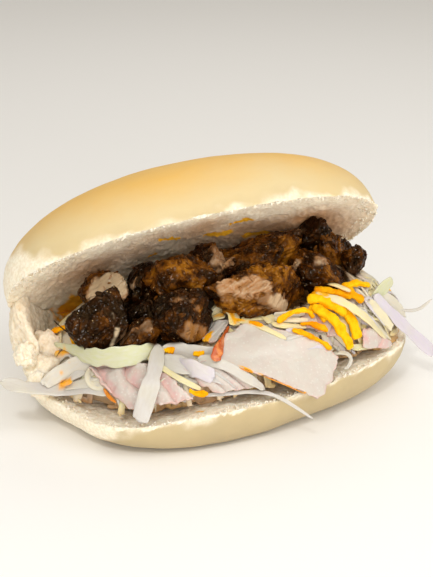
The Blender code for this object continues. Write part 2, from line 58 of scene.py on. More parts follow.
# --- the roll's form: the same values as the solids ------------------------------------------
HALF_LENGTH = 0.0765
HALF_WIDTH = 0.0460
PLAN_POWER = 2.1
OUTLINE_SWELLS = ((-163, -0.08, 15), (-3, 0.03, 9))
FRONT_SKEW = 0.17
RIM_HEIGHT = 0.0180
RIM_RISES = ((-150, -0.0050, 32), (-20, 0.0020, 24))
END_LIFT = 0.0030
SIDE_ROUND = 0.0120
END_ROUND = 0.0090
BASE_DISH = 0.0030
LID_HALF_LENGTH = 0.0760
LID_LEFT_TRIM = 0.010
LID_HALF_WIDTH = 0.0465
LID_DOME = 0.0352
LID_HOLLOW = 0.0075
LID_CENTRE = np.array((-0.0055, 0.0120, 0.0550), np.float32)
LID_TURN = (-44, -7, 1)
LID_FRONT_SAG = 0.0030
HINGE_FROM = math.radians(62)
HINGE_TO = math.radians(192)
HINGE_THICKNESS = 0.0095
HINGE_BULGE = 0.0030
# Its rings: points in each, how far they crowd to the front, the power that spreads the lid's,
# and the share of the tilts under the base's equator that make its side; the rest lie flat
ROLL_AROUND = 470
ROLL_CROWD = 0.35
LID_SPREAD = 0.88
SIDE_SHARE = 0.6
# Pale sides torn from the next rolls: angle, height and how many degrees wide
TORN_SIDES = ((-172, 0.0150, 26), (2, 0.0030, 16))
TUFT_THICKNESS = 0.0006
# Torn lumps of crumb at the left end: middle and half sizes in millimetres
LUMPS = (
    ((-76.0, -2.5, 28.5), (5.0, 6.4, 4.2)),
    ((-71.5, -8.0, 18.0), (6.2, 6.2, 6.0)),
    ((-70.0, -2.0, 22.5), (7.2, 7.6, 6.6)),
    ((-66.5, 5.0, 27.5), (6.6, 7.4, 7.0)),
)

# --- the filling's form: the same values as the solids ---------------------------------------
HEAP_REACH = 0.90
HEAP_REACHES = ((8, 0.08, 40), (202, 0.06, 25), (90, -0.16, 55))
HEAP_LEFT = 0.0215
HEAP_MIDDLE = 0.0215
HEAP_RIGHT = 0.0310
HEAP_BACK_RISE = 0.0090
HEAP_FLOOR_GAP = 0.0020
HEAP_LID_GAP = 0.0035
CORE_SINK = 0.0012  # how far the core stays under the top of the heap, for the shreds on it
# Where fewer loose shreds lie, because ham and leaves cover the heap: angle, share and width
BARE_FRONT = ((-112, 0.16, 26),)
SHRED_STEPS = np.linspace(-0.5, 0.5, 16)  # a loose shred's rings, along it from its middle
# How far the chicken's painted shade reaches into the core and into the strips, how far its
# juice reaches, and how far up from the bread juice and painted shade reach into the heap
CORE_SHADE = 0.0045
STRIP_SHADE = 0.0012
CHICKEN_JUICE = 0.007
BREAD_JUICE_AND_SHADE = 0.006

# Chunks of chicken: number, middle and half sizes in metres, turn in degrees, seed, how charred,
# and the slant of its fibres in degrees
CHICKEN = (
    (1, (-0.0487, -0.013, 0.0444), (0.0112, 0.0095, 0.0104), (8, -24, 12), 11, 0.66, 40),
    (2, (-0.0433, 0.006, 0.0476), (0.0095, 0.0075, 0.0062), (0, -18, -10), 23, 0.3, 20),
    (3, (-0.0164, -0.002, 0.0518), (0.0122, 0.01, 0.0108), (0, 24, 8), 37, 0.4, 150),
    (4, (-0.0192, -0.02, 0.0438), (0.0112, 0.0078, 0.01), (0, -20, -8), 41, 0.6, 70),
    (5, (-0.0353, -0.019, 0.0383), (0.0078, 0.006, 0.0048), (0, -22, 10), 53, 0.46, 52),
    (7, (0.0149, -0.0105, 0.0483), (0.02, 0.0086, 0.0098), (10, 14, 8), 71, 0.26, 26),
    (8, (0.0393, -0.002, 0.0504), (0.0125, 0.008, 0.007), (0, 14, -12), 83, 0.48, 150),
    (9, (0.0487, 0.0118, 0.0525), (0.014, 0.0075, 0.0085), (0, 32, 6), 97, 0.26, 140),
    (10, (0.0171, 0.009, 0.0546), (0.0175, 0.008, 0.007), (0, -8, 0), 101, 0.25, 10),
    (11, (0.0578, 0.0045, 0.0514), (0.0045, 0.0045, 0.0042), (0, 20, 0), 113, 0.35, 30),
    (6, (-0.0285, 0.0066, 0.046), (0.0072, 0.0066, 0.0094), (0, 10, 0), 67, 0.6, 75),
    (12, (-0.0035, 0.0035, 0.0535), (0.007, 0.0075, 0.0105), (0, 0, 0), 131, 0.5, 60),
    (13, (-0.0305, -0.0085, 0.04), (0.0092, 0.008, 0.008), (0, 0, 0), 139, 0.9, 60),
    (14, (0.0135, 0.0002, 0.056), (0.0125, 0.0058, 0.0056), (0, -8, 0), 149, 0.42, 15),
    (15, (0.0422, 0.0105, 0.059), (0.0062, 0.0048, 0.0068), (0, 20, 0), 157, 0.72, 70),
    (16, (0.0315, 0.0115, 0.0585), (0.0075, 0.0045, 0.0034), (0, -4, 0), 163, 0.32, 10),
    (17, (0.0558, 0.002, 0.048), (0.0035, 0.0032, 0.0034), (0, 0, 0), 173, 0.42, 60),
)
CHUNK_SWELL = 0.0010  # how far the crags stand over the solid
CHUNK_STEP = 0.00006  # the larger half size over this is how many points each ring has
# Where the meat inside shows on the chunks: two ends of a line and the radius round it, in
# millimetres, and how bare the meat is
FLESH = (
    ((-46.5, -1.0, 49.5), (-38.5, 2.0, 51.5), 6.5, 1.0),
    ((-42.0, -19.5, 37.5), (-34.0, -21.5, 43.0), 3.6, 0.4),
    ((-18.0, -28.5, 43.0), (-13.5, -25.0, 38.5), 4.4, 0.5),
    ((-21.5, -22.5, 53.5), (-14.5, -24.5, 49.5), 2.0, 0.35),
    ((-0.5, -15.5, 51.5), (8.5, -17.0, 51.5), 4.8, 1.0),
    ((8.0, -17.0, 54.0), (14.0, -18.0, 50.0), 4.0, 0.9),
    ((13.0, -19.0, 48.5), (22.0, -18.0, 43.5), 4.0, 0.9),
    ((0.0, 0.0, 57.5), (4.0, 1.5, 56.5), 4.5, 0.8),
    ((-3.0, 2.0, 60.0), (0.0, 2.0, 60.5), 2.6, 0.7),
    ((30.0, -4.0, 54.5), (33.0, -3.0, 53.5), 2.4, 0.6),
    ((38.0, -6.8, 56.0), (40.0, -6.5, 56.0), 2.6, 0.6),
    ((34.0, 11.5, 61.5), (37.0, 11.5, 61.5), 2.8, 0.5),
)
# Where pale fat or gristle shows
FAT = (
    ((-44.3, -21.8, 43.2), (-46.6, -20.4, 36.2), 1.0, 0.85),
    ((-45.2, -18.9, 48.9), (-45.1, -19.7, 47.4), 0.7, 0.5),
    # this wide pale patch on the second chunk is partly its pale meat and partly painted light
    ((-46.0, -1.0, 50.0), (-39.0, 2.5, 52.0), 6.0, 0.75),
    ((15.5, -19.5, 48.0), (22.5, -17.5, 43.5), 3.2, 0.6),
    ((2.5, 1.5, 57.0), (4.0, 1.5, 56.0), 2.0, 0.4),
    ((31.0, -4.0, 54.5), (32.0, -3.5, 54.0), 1.4, 0.4),
    ((38.6, -8.2, 56.4), (39.4, -8.0, 56.4), 1.4, 0.4),
)
# Where the marinade is thin and golden
GOLD = (
    ((-26.5, -3.0, 56.0), (-20.0, -4.0, 62.0), 4.0, 0.8),
    ((-18.0, -10.0, 60.0), (-13.0, -10.0, 58.5), 5.0, 0.9),
    ((-13.5, -11.5, 55.0), (-8.5, -9.0, 53.5), 4.5, 1.2),
    ((-47.6, -20.2, 42.6), (-49.0, -20.0, 37.0), 1.6, 1.0),
    ((-20.0, -28.5, 44.0), (-13.5, -24.5, 38.5), 6.0, 1.5),
    ((-23.0, -22.5, 53.5), (-13.5, -24.5, 49.0), 3.2, 1.2),
    ((-26.0, -20.0, 52.0), (-22.0, -24.0, 50.0), 2.4, 0.9),
    ((4.0, -11.0, 58.5), (17.0, -13.0, 56.5), 2.8, 0.5),
    ((24.0, -17.5, 46.0), (27.0, -15.0, 44.0), 3.0, 0.9),
    ((0.0, -17.0, 47.0), (12.0, -19.0, 46.0), 2.2, 0.4),
    ((8.0, 9.0, 58.5), (12.5, 10.0, 58.5), 3.0, 0.9),
    ((26.5, 1.0, 54.5), (30.0, 3.0, 55.5), 3.0, 1.0),
    ((42.0, -9.0, 51.0), (46.5, -7.5, 49.0), 3.4, 0.7),
)

SCRAP_THICKNESS = 0.0005
# A burnt thread of skin that curls off the first chunk, in the terms of the cabbage
BURNT_CURL = (
    (0.7, 0.35, 0.0, ((-57.4, -20.4, 40.6), (-61.4, -19.4, 42.8), (-64.6, -18.8, 45.6),
                      (-67.0, -18.4, 48.4))),
)

# Strips of cabbage: width at the start and at the end, tint from white at 0 over cream, green and
# yellow to lilac at 1, then the points of a smooth middle line, in millimetres
SHRED_THICKNESS = 0.0009
THIN_SHRED_THICKNESS = 0.0008
SHREDS = (
    (3.0, 3.0, 0.1, ((-67.9, -9.8, 17.8), (-58.0, -16.3, 25.0), (-47.0, -15.2, 29.8))),
    (3.0, 3.0, 0.35, ((-33.2, -24.9, 31.0), (-28.9, -32.3, 31.0), (-26.4, -37.3, 29.4))),
    (1.6, 1.4, 0.05, ((-18.0, -41.6, 22.4), (-8.0, -42.6, 22.4), (3.0, -42.6, 21.4),
                      (11.0, -44.4, 18.8), (22.5, -49.0, 10.7))),
    (5.0, 7.6, 0.05, ((-87.1, -12.0, 23.3), (-77.4, -16.0, 21.4), (-64.9, -15.6, 19.0),
                      (-56.0, -24.0, 23.0), (-47.5, -31.0, 23.4))),
    (3.0, 4.6, 0.2, ((-65.2, -12.6, 17.6), (-58.9, -20.8, 22.6), (-51.2, -27.0, 25.6))),
    (1.6, 1.2, 0.1, ((64.0, -9.0, 38.0), (74.5, -7.0, 31.5), (84.5, -3.0, 28.8), (92.0, 0.0, 31.2))),
    (4.0, 3.0, 0.3, ((49.3, -18.4, 39.9), (56.7, -20.5, 33.6), (67.3, -16.0, 22.9))),
    (5.0, 4.0, 0.9, ((64.0, -6.5, 40.5), (71.5, -3.0, 37.6), (76.0, -1.0, 32.0))),
    (4.6, 3.6, 0.89, ((57.4, -12.3, 41.2), (58.6, -17.2, 37.6), (63.1, -18.2, 30.6))),
    (1.7, 1.5, 0.12, ((36.8, -29.6, 26.6), (39.8, -30.6, 27.2), (42.8, -30.4, 26.0),
                      (44.4, -29.8, 23.4), (43.4, -30.2, 20.9), (41.4, -30.9, 20.2))),
    (2.6, 3.0, 0.55, ((44.6, -28.9, 27.9), (50.5, -26.8, 26.6), (58.5, -22.8, 24.6))),
    (2.4, 2.4, 0.2, ((50.8, -4.1, 45.0), (56.4, -3.5, 45.0))),
    (8.0, 2.6, 0.06, ((-30.2, -28.6, 32.4), (-22.7, -36.4, 32.2), (-13.8, -41.4, 29.6),
                      (-3.5, -43.0, 24.2))),
    (2.6, 1.6, 0.5, ((-31.3, -33.0, 31.9), (-27.9, -37.7, 30.5), (-23.5, -41.3, 28.3),
                     (-18.4, -43.0, 25.5))),
    (5.0, 3.0, 0.1, ((-17.4, -35.0, 33.8), (-9.4, -40.4, 33.0), (-1.9, -43.2, 28.4),
                     (5.4, -43.4, 22.6))),
    (2.0, 2.2, 0.46, ((-5.4, -7.6, 38.9), (-2.9, -8.2, 42.4), (-0.6, -7.8, 45.4))),
    (2.4, 2.0, 0.46, ((-5.8, -10.4, 38.6), (-1.0, -10.3, 41.3), (4.9, -9.3, 42.5))),
    (2.2, 1.2, 0.46, ((0.0, -9.9, 41.1), (5.7, -10.8, 41.4), (11.0, -11.4, 42.2))),
    (3.4, 3.0, 0.46, ((-8.2, -11.4, 37.9), (-4.2, -12.5, 39.5), (-0.7, -13.0, 40.2))),
    (2.2, 2.2, 0.46, ((4.8, -12.7, 40.3), (11.2, -14.2, 40.5), (17.3, -15.7, 40.9))),
    (2.6, 2.4, 0.46, ((4.5, -17.8, 39.6), (11.4, -17.9, 40.0), (17.4, -19.4, 40.0))),
    (4.4, 4.6, 0.46, ((13.5, -15.2, 40.9), (14.2, -19.0, 40.4), (14.9, -22.9, 39.4))),
    (2.6, 1.6, 0.46, ((2.1, -19.4, 40.4), (7.8, -24.6, 40.0), (13.0, -29.4, 38.4),
                      (17.9, -32.0, 35.9))),
    (1.8, 1.2, 0.1, ((16.5, -31.9, 36.0), (20.3, -31.4, 36.5), (25.6, -30.4, 36.5))),
    (1.8, 1.6, 0.89, ((24.6, -33.4, 32.1), (30.4, -32.6, 31.9), (35.6, -31.9, 29.0))),
    (4.6, 3.4, 0.22, ((-24.0, -14.0, 36.0), (-15.0, -12.0, 38.6), (-8.0, -14.6, 38.2))),
    (2.4, 2.0, 0.46, ((14.0, -24.6, 39.8), (20.0, -26.4, 39.0), (27.0, -27.4, 38.2))),
    (2.8, 2.2, 0.36, ((16.0, -22.6, 40.8), (22.0, -24.2, 40.4), (28.6, -25.6, 39.6))),
    (2.8, 2.2, 0.89, ((18.4, -28.4, 37.8), (23.6, -29.2, 36.8), (29.0, -29.8, 34.6))),
    (4.4, 4.0, 0.89, ((33.5, -27.4, 34.4), (38.4, -28.2, 30.0), (43.0, -27.2, 25.4))),
    (3.6, 3.2, 0.3, ((38.0, -25.4, 34.8), (42.4, -26.4, 30.4), (46.8, -26.6, 25.4))),
    (2.6, 2.4, 0.46, ((27.4, -31.0, 32.4), (32.6, -30.4, 30.6), (37.6, -28.8, 28.6))),
    (1.0, 1.4, 1.0, ((36.6, -30.2, 30.6), (38.0, -30.6, 29.6), (39.4, -30.6, 28.2))),
    (1.2, 0.8, 1.0, ((39.0, -30.6, 30.0), (38.4, -31.0, 28.8))),
    (1.2, 1.4, 0.97, ((44.9, -29.0, 26.8), (46.3, -28.8, 25.4))),
)
# Leaves that stand up against the chicken or hang over the front: the same terms, then how much
# wider they are in their middle
LEAVES = (
    (1.6, 3.4, 0.6, ((-64.9, -2.8, 31.8), (-60.4, -9.5, 32.4), (-55.6, -19.0, 33.2),
                     (-50.9, -24.4, 34.2), (-42.8, -27.4, 35.0), (-35.8, -27.8, 35.8),
                     (-31.0, -24.0, 34.8)), 1.7),
    (4.6, 3.6, 0.16, ((-53.0, -19.4, 29.6), (-58.1, -15.0, 28.2), (-62.7, -12.7, 25.2),
                      (-68.0, -13.4, 22.8), (-71.4, -15.6, 21.6)), 0.5),
    (4.8, 6.6, 0.06, ((-29.0, -24.5, 36.0), (-31.0, -28.4, 34.8), (-33.2, -34.0, 32.8),
                      (-36.0, -39.6, 29.7), (-39.0, -43.4, 24.9), (-42.2, -46.6, 17.8)), 0.0),
    (5.6, 5.0, 0.08, ((-29.0, -24.4, 33.4), (-22.6, -28.0, 33.8), (-17.2, -31.6, 34.2),
                      (-10.6, -34.4, 34.6)), 0.5),
    (3.6, 5.0, 0.89, ((-29.6, -27.7, 31.0), (-24.3, -33.9, 31.6), (-20.3, -40.0, 32.6),
                      (-13.8, -43.2, 30.2)), 0.5),
    (6.0, 5.0, 0.9, ((-31.0, -31.0, 30.0), (-27.4, -35.6, 27.6), (-24.4, -38.6, 24.6),
                     (-22.0, -40.4, 20.6)), 0.3),
    (3.0, 2.4, 0.72, ((-31.9, -19.5, 36.2), (-33.5, -25.8, 35.4), (-34.2, -28.9, 32.8)), 0.3),
    (3.6, 4.2, 0.76, ((1.0, -11.3, 42.9), (1.4, -15.3, 41.5), (0.4, -21.9, 39.4)), 0.4),
    (4.0, 5.0, 0.89, ((60.6, -12.4, 41.4), (66.7, -14.4, 34.6), (77.0, -13.0, 23.6),
                      (88.0, -12.8, 13.0)), 0.2),
    (3.2, 4.0, 0.6, ((60.2, -11.6, 38.6), (65.4, -9.4, 42.4), (70.6, -6.5, 44.4)), 0.5),
    (4.2, 3.4, 0.2, ((64.0, -10.4, 39.6), (71.0, -8.4, 35.0), (77.0, -7.0, 28.0)), 0.5),
    (3.4, 2.8, 0.36, ((57.4, -14.8, 40.2), (60.6, -18.2, 36.0), (66.6, -17.6, 28.6)), 0.5),
    (3.6, 3.0, 0.89, ((52.4, -17.6, 38.2), (55.6, -21.4, 33.0), (62.0, -20.4, 25.0)), 0.5),
    (2.2, 2.6, 0.46, ((6.8, -13.4, 41.6), (12.6, -16.0, 41.4), (18.8, -18.0, 41.2)), 0.4),
    (2.4, 1.4, 0.4, ((-6.0, -9.9, 39.0), (-2.6, -10.9, 42.4), (-0.4, -11.3, 45.6)), 0.4),
    (2.2, 2.0, 0.3, ((16.0, -19.4, 40.8), (22.6, -21.4, 41.2), (28.2, -22.4, 42.0)), 0.4),
)
# Grated cheese, in the terms of the cabbage: tint is how wet with sauce
CHEESE_THICKNESS = 0.0021
LOOSE_THICKNESS = 0.00147
CHEESE = (
    (4.6, 4.2, 0.2, ((29.4, -19.8, 45.8), (35.0, -20.6, 45.8), (39.6, -23.8, 43.6),
                     (44.4, -24.4, 41.0))),
    (3.8, 4.4, 0.0, ((30.1, -23.0, 44.8), (36.6, -28.6, 41.4), (40.6, -31.6, 35.2),
                     (43.6, -32.2, 28.8))),
    (4.4, 4.6, 0.0, ((43.9, -22.9, 41.2), (46.8, -26.3, 36.2), (48.0, -28.6, 31.0))),
    (3.6, 3.4, 0.5, ((35.6, -10.4, 46.0), (41.7, -12.9, 45.3), (50.2, -15.8, 43.3))),
    (3.8, 4.4, 0.7, ((45.8, -10.8, 45.5), (50.3, -13.5, 43.9), (54.1, -16.7, 40.9))),
    (3.6, 3.0, 0.2, ((48.0, -10.8, 45.6), (54.4, -8.6, 45.6), (60.8, -7.4, 43.6))),
    (3.6, 3.4, 0.4, ((34.6, -11.9, 45.2), (39.4, -18.3, 44.6), (44.2, -23.2, 41.6))),
    (2.2, 2.2, 0.1, ((15.9, -25.2, 40.4), (21.6, -25.2, 43.6), (27.9, -24.6, 43.4),
                     (30.4, -25.8, 40.6))),
    (2.0, 1.6, 0.5, ((20.2, -29.4, 38.6), (25.6, -31.2, 36.9), (30.5, -32.2, 34.2),
                     (35.4, -32.6, 29.8))),
    (2.4, 2.0, 0.6, ((24.0, -26.8, 39.6), (29.2, -28.9, 39.4), (34.5, -31.0, 36.6))),
    (1.8, 1.6, 0.8, ((5.8, -22.6, 40.4), (9.8, -26.2, 39.9))),
    (4.8, 4.2, 0.1, ((30.2, -20.4, 43.4), (33.8, -23.6, 42.2), (35.4, -27.4, 39.9))),
)
# and the strands that lie alone on the cabbage
LOOSE_CHEESE = (
    (3.0, 2.4, 0.1, ((-64.4, 6.3, 33.3), (-61.0, 3.1, 35.4), (-56.1, 0.0, 36.6))),
    (2.4, 2.2, 0.2, ((-58.2, -0.9, 35.2), (-57.5, -6.7, 31.8))),
    (3.4, 3.0, 0.0, ((67.0, -2.5, 40.3), (72.5, -1.0, 37.8))),
    (3.4, 3.0, 0.3, ((-27.6, -24.2, 34.6), (-24.6, -27.2, 34.6))),
    (2.6, 3.0, 0.4, ((-18.4, -31.2, 35.2), (-14.9, -33.4, 34.6))),
    (2.4, 1.4, 0.5, ((-23.2, -42.4, 25.7), (-20.2, -43.6, 24.7), (-16.0, -43.7, 23.9))),
)

# The pale strips that lie over the cheese, in the terms of the cabbage
TOP_STRIPS = (
    (3.0, 3.4, 0.44, ((33.8, -18.0, 47.6), (42.1, -23.0, 45.2), (50.4, -25.8, 39.3),
                      (63.4, -20.9, 25.6))),
    (2.4, 2.2, 0.46, ((40.0, -8.1, 48.0), (44.1, -12.2, 47.4), (49.2, -15.6, 45.6))),
)

# Ham: name, then its bulge, the height of its folds and how many there are, the height of its
# creases and how many lobes they make, and its top left, top right, bottom right and bottom left
# corner, all in millimetres
HAM_THICKNESS = 0.0009
HAM = (
    ("ham_slice_large", (3.5, 0.3, 2), 0.3, 1.6, ((1.6, -21.9, 40.1), (39.8, -32.2, 25.8),
                                                  (25.8, -45.4, 15.2), (-15.3, -37.9, 34.2))),
    ("ham_fold_left", (3.0, 0.4, 2), 2.4, 2.3, ((-55.7, -15.1, 27.9), (-31.8, -30.2, 30.6),
                                                (-20.4, -43.4, 21.4), (-42.6, -38.2, 16.5))),
    ("ham_fold_middle", (1.0, 0.4, 2), 1.5, 4.2, ((-25.0, -31.7, 32.3), (-11.9, -36.5, 32.8),
                                                  (5.5, -42.2, 22.8), (-13.7, -42.6, 23.0))),
    ("ham_slice_right", (0.0, 0.2, 1), 1.2, 2.4, ((27.0, -19.6, 41.5), (41.5, -23.6, 38.0),
                                                  (38.5, -28.7, 31.5), (25.5, -27.2, 37.3))),
    ("ham_slice_end", (1.0, 0.3, 1), 1.0, 1.5, ((50.9, -24.5, 33.5), (58.0, -21.7, 31.0),
                                                (65.7, -19.0, 21.5), (49.2, -27.4, 26.9))),
    ("ham_slice_top", (1.0, 0.3, 1), 0.4, 1.5, ((-6.7, -15.3, 37.5), (0.6, -16.6, 39.2),
                                                (-9.0, -29.5, 36.2), (-13.4, -25.5, 35.8))),
)
HAM_CLEARANCE = 0.0019
HAM_CORNER = 0.12  # how much each corner is rounded
FLAT_SLICES = ("ham_slice_large", "ham_slice_top")  # paler, with no deep folds

# Orange sauce: two ends of a smear and its half width, in millimetres, on the roll's crumb
CRUMB_STAINS = (
    ((-20.1, 9.6, 64.9), (-12.9, 12.6, 63.5), 1.8),
    ((9.4, 11.1, 68.1), (15.2, 7.5, 71.2), 2.4),
    ((0.5, 15.8, 62.8), (9.3, 16.1, 63.1), 2.4),
    ((17.6, 20.1, 59.2), (36.1, 21.6, 58.2), 1.8),
    ((-22.7, 19.3, 54.6), (-20.4, 18.8, 55.8), 1.4),
    ((-54.8, 32.7, 29.3), (-51.1, 31.5, 33.4), 8.0),
    ((-19.9, -40.6, 15.9), (-17.7, -42.1, 16.4), 0.9),
)
# and on the cabbage and the ham
SMEARS = (
    ((-66.3, 2.2, 25.8), (-61.2, -5.8, 30.2), 2.6),
    ((-65.8, -13.6, 19.4), (-62.0, -15.9, 22.2), 1.5),
    ((-65.4, -9.0, 23.2), (-63.9, -12.3, 24.2), 1.6),
    ((-61.6, -12.0, 27.6), (-59.4, -13.1, 29.1), 1.0),
    ((-33.0, -22.0, 35.6), (-34.0, -26.9, 33.7), 1.2),
    ((-9.0, -22.6, 38.7), (-12.0, -26.3, 37.6), 1.8),
    ((-6.4, -12.5, 40.6), (-2.0, -12.8, 41.2), 1.3),
    ((0.8, -14.3, 42.3), (0.5, -20.9, 40.1), 1.2),
    ((2.1, -18.8, 40.4), (9.8, -25.6, 40.0), 1.3),
    ((34.0, -17.0, 47.0), (37.5, -19.6, 47.0), 1.6),
    ((-7.3, -38.8, 33.6), (1.0, -42.8, 30.0), 0.4),
    ((2.0, -43.0, 29.6), (20.6, -45.0, 19.7), 0.3),
)
# Films of thin sauce, in the terms of the cabbage: tint 0 is orange and 1 is red
SAUCE_THICKNESS = 0.0006
SAUCE = (
    (1.6, 5.0, 1.0, ((-1.5, -20.6, 39.2), (-4.9, -26.6, 38.2), (-9.2, -35.0, 38.0),
                     (-11.4, -38.2, 36.4), (-12.6, -40.2, 34.8))),
    (1.0, 1.8, 0.1, ((-65.6, -16.6, 21.2), (-63.6, -18.0, 22.2), (-61.6, -19.4, 23.6))),
    (0.4, 0.6, 0.5, ((-7.8, -39.4, 33.6), (-3.6, -42.0, 31.7), (1.0, -43.5, 29.8))),
    (0.4, 0.5, 0.45, ((4.0, -43.6, 28.5), (10.0, -44.6, 25.6), (16.0, -45.7, 22.4),
                      (20.6, -45.9, 19.7))),
    (1.4, 1.0, 0.6, ((-51.6, -29.0, 23.9), (-50.2, -32.4, 22.0), (-48.4, -35.4, 20.8))),
)


# Where the camera looks to, and its azimuth and height in degrees, distance and lens
CAMERA_TARGET = Vector((-0.0005, 0, 0.0462))
CAMERA_PLACE = (-16, 22, 0.48)
CAMERA_LENS = 77
# The lights: name, azimuth and height in degrees, distance and size in metres, power in watts
LIGHTS = (
    ("key_light", -28, 50, 0.80, 0.60, 1.0),
    ("spark_light", -28, 46, 0.80, 0.08, 1.3),
    ("front_light", -4, 7, 0.80, 0.46, 2.3),
    ("right_light", 42, 42, 0.80, 0.46, 2.0),
    ("back_light", 160, 50, 0.90, 0.60, 0.9),
)
WORLD_STRENGTH = 0.56
FLOOR_HALF = 3.0
FLOOR_DROP = 0.0002  # the floor lies this far under the roll


# --- helpers ---------------------------------------------------------------------------------
def linear(code):
    """An sRGB hex colour, such as F0CC7A, as linear red, green, blue and alpha."""
    parts = np.array([int(code[place : place + 2], 16) for place in (0, 2, 4)]) / 255
    bright = ((parts + 0.055) / 1.055) ** 2.4
    return (*(float(v) for v in np.where(parts <= 0.04045, parts / 12.92, bright)), 1.0)


def scatter(cell, seed):
    """A value from 0 to 1 for each cell of a lattice, by mixing its three whole numbers."""
    mixed = cell[:, 0] * 73856093 ^ cell[:, 1] * 19349663 ^ cell[:, 2] * 83492791 ^ seed * 265443576
    mixed = (mixed ^ (mixed >> 13)) * 1274126177 & 0x7FFFFFFF
    return ((mixed ^ (mixed >> 16)) & 0xFFFF) / 0xFFFF


def lattice_noise(points, seed):
    """Smooth noise from -1 to 1: random values on a unit lattice, blended by a smoothstep."""
    cell = np.floor(points).astype(np.int64)
    part = points - cell
    ease = part * part * (3 - 2 * part)
    total = np.zeros(len(points))
    for corner in itertools.product((0, 1), repeat=3):
        weight = np.prod(np.where(corner, ease, 1 - ease), axis=1)
        total += (2 * scatter(cell + corner, seed) - 1) * weight
    return total


def rough(points, size, seed, layers=3):
    """Noise of a size in metres, with finer layers of half the size and height added to it."""
    return sum(
        lattice_noise(points / size * 2**layer, seed + layer) / 2**layer for layer in range(layers)
    )


def ridges(points, size, seed, layers=3):
    """Sharp-crested noise from 0 to about 1: one minus the size of the smooth noise."""
    steps = range(layers)
    return sum((1 - np.abs(lattice_noise(points / size * 2**n, seed + n))) / 2**n for n in steps) / 2


def pits(points, size, seed):
    """1 at the middle of holes scattered one to a cell of that size, 0 between them."""
    scaled = points / size
    cell = np.floor(scaled).astype(np.int64)
    nearest = np.full(len(points), 9.0)
    for step in itertools.product((-1, 0, 1), repeat=3):
        at = cell + step
        spot = at + np.stack([scatter(at, seed + axis) for axis in range(3)], axis=1)
        nearest = np.minimum(nearest, np.linalg.norm(scaled - spot, axis=1))
    return np.clip(1 - nearest / 0.55, 0, 1) ** 0.7


def smooth(value, low=0.0, high=1.0):
    """0 below low, 1 above high, and a smooth rise between them."""
    part = np.clip((value - low) / (high - low), 0, 1)
    return part * part * (3 - 2 * part)


def signed_power(value, power):
    """A power of the size of a value, with its sign kept."""
    return np.sign(value) * np.abs(value) ** power


def unit(vectors):
    """Each vector at a length of one."""
    return vectors / np.maximum(np.linalg.norm(vectors, axis=-1, keepdims=True), 1e-12)


def axes_of(turn):
    """The three axes, as columns, of something turned by three angles in degrees."""
    return np.array(Euler([math.radians(angle) for angle in turn]).to_matrix())


LID_AXES = axes_of(LID_TURN)


def line_distance(points, start, end):
    """How far each point is from the line between two places given in millimetres."""
    start = np.array(start) * MM
    line = np.array(end) * MM - start
    along = np.clip((points - start) @ line / (line @ line), 0, 1)
    return np.linalg.norm(points - start - along[:, None] * line, axis=1)


def smears(points, table, ragged=0.5):
    """1 on any smear of a table, 0 off it: the distance to its line, against its half width."""
    uneven = 1 + ragged * rough(points, 0.0022, 91, 2)
    total = np.zeros(len(points))
    for start, end, width in table:
        away = line_distance(points, start, end)
        total = np.maximum(total, smooth(1 - away / (width * MM * uneven), 0.0, 0.45))
    return total


def flaked(value):
    """A slow rise and a sudden fall, once for each whole number: the edges of stacked flakes."""
    part = value - np.floor(value)
    return np.minimum(part / 0.84, (1 - part) / 0.16)


def new_mesh(name, points, quads, triangles=(), **fields):
    """A smooth mesh object from arrays, with a value at each point for each named field."""
    mesh = bpy.data.meshes.new(name)
    faces = [np.reshape(quads, (-1, 4)), np.reshape(np.array(triangles, int), (-1, 3))]
    corners = np.concatenate([part.ravel() for part in faces]).astype(np.int32)
    starts = np.concatenate([[0], np.cumsum(np.repeat([4, 3], [len(part) for part in faces]))])
    mesh.vertices.add(len(points))
    mesh.vertices.foreach_set("co", np.asarray(points, np.float32).ravel())
    mesh.loops.add(len(corners))
    mesh.loops.foreach_set("vertex_index", corners)
    mesh.polygons.add(len(starts) - 1)
    mesh.polygons.foreach_set("loop_start", starts[:-1].astype(np.int32))
    mesh.update(calc_edges=True)
    mesh.shade_smooth()
    made = bpy.data.objects.new(name, mesh)
    bpy.context.scene.collection.objects.link(made)
    for key, values in fields.items():
        set_field(made, key, values)
    return made


def set_field(obj, key, values):
    """Gives each point of a mesh a value of that name."""
    attributes = obj.data.attributes
    field = attributes.get(key) or attributes.new(key, "FLOAT", "POINT")
    field.data.foreach_set("value", np.asarray(values, np.float32))


def read(rows, key, size):
    """The values of one kind that rows of Blender's data hold, size of them in each row."""
    values = np.empty(len(rows) * size, np.float32)
    rows.foreach_get(key, values)
    return values.astype(float)


def field_of(obj, key):
    """The value that each point of a mesh has under that name."""
    return read(obj.data.attributes[key].data, "value", 1)


def points_of(obj):
    """The place of each point of a mesh."""
    return read(obj.data.vertices, "co", 3).reshape(-1, 3)


def normals_of(obj):
    """The normal at each point of a mesh."""
    return read(obj.data.vertex_normals, "vector", 3).reshape(-1, 3)


def push_out(obj, amount):
    """Moves each point along its normal by its own amount, in metres."""
    moved = points_of(obj) + normals_of(obj) * np.asarray(amount)[:, None]
    obj.data.vertices.foreach_set("co", moved.astype(np.float32).ravel())
    obj.data.update()


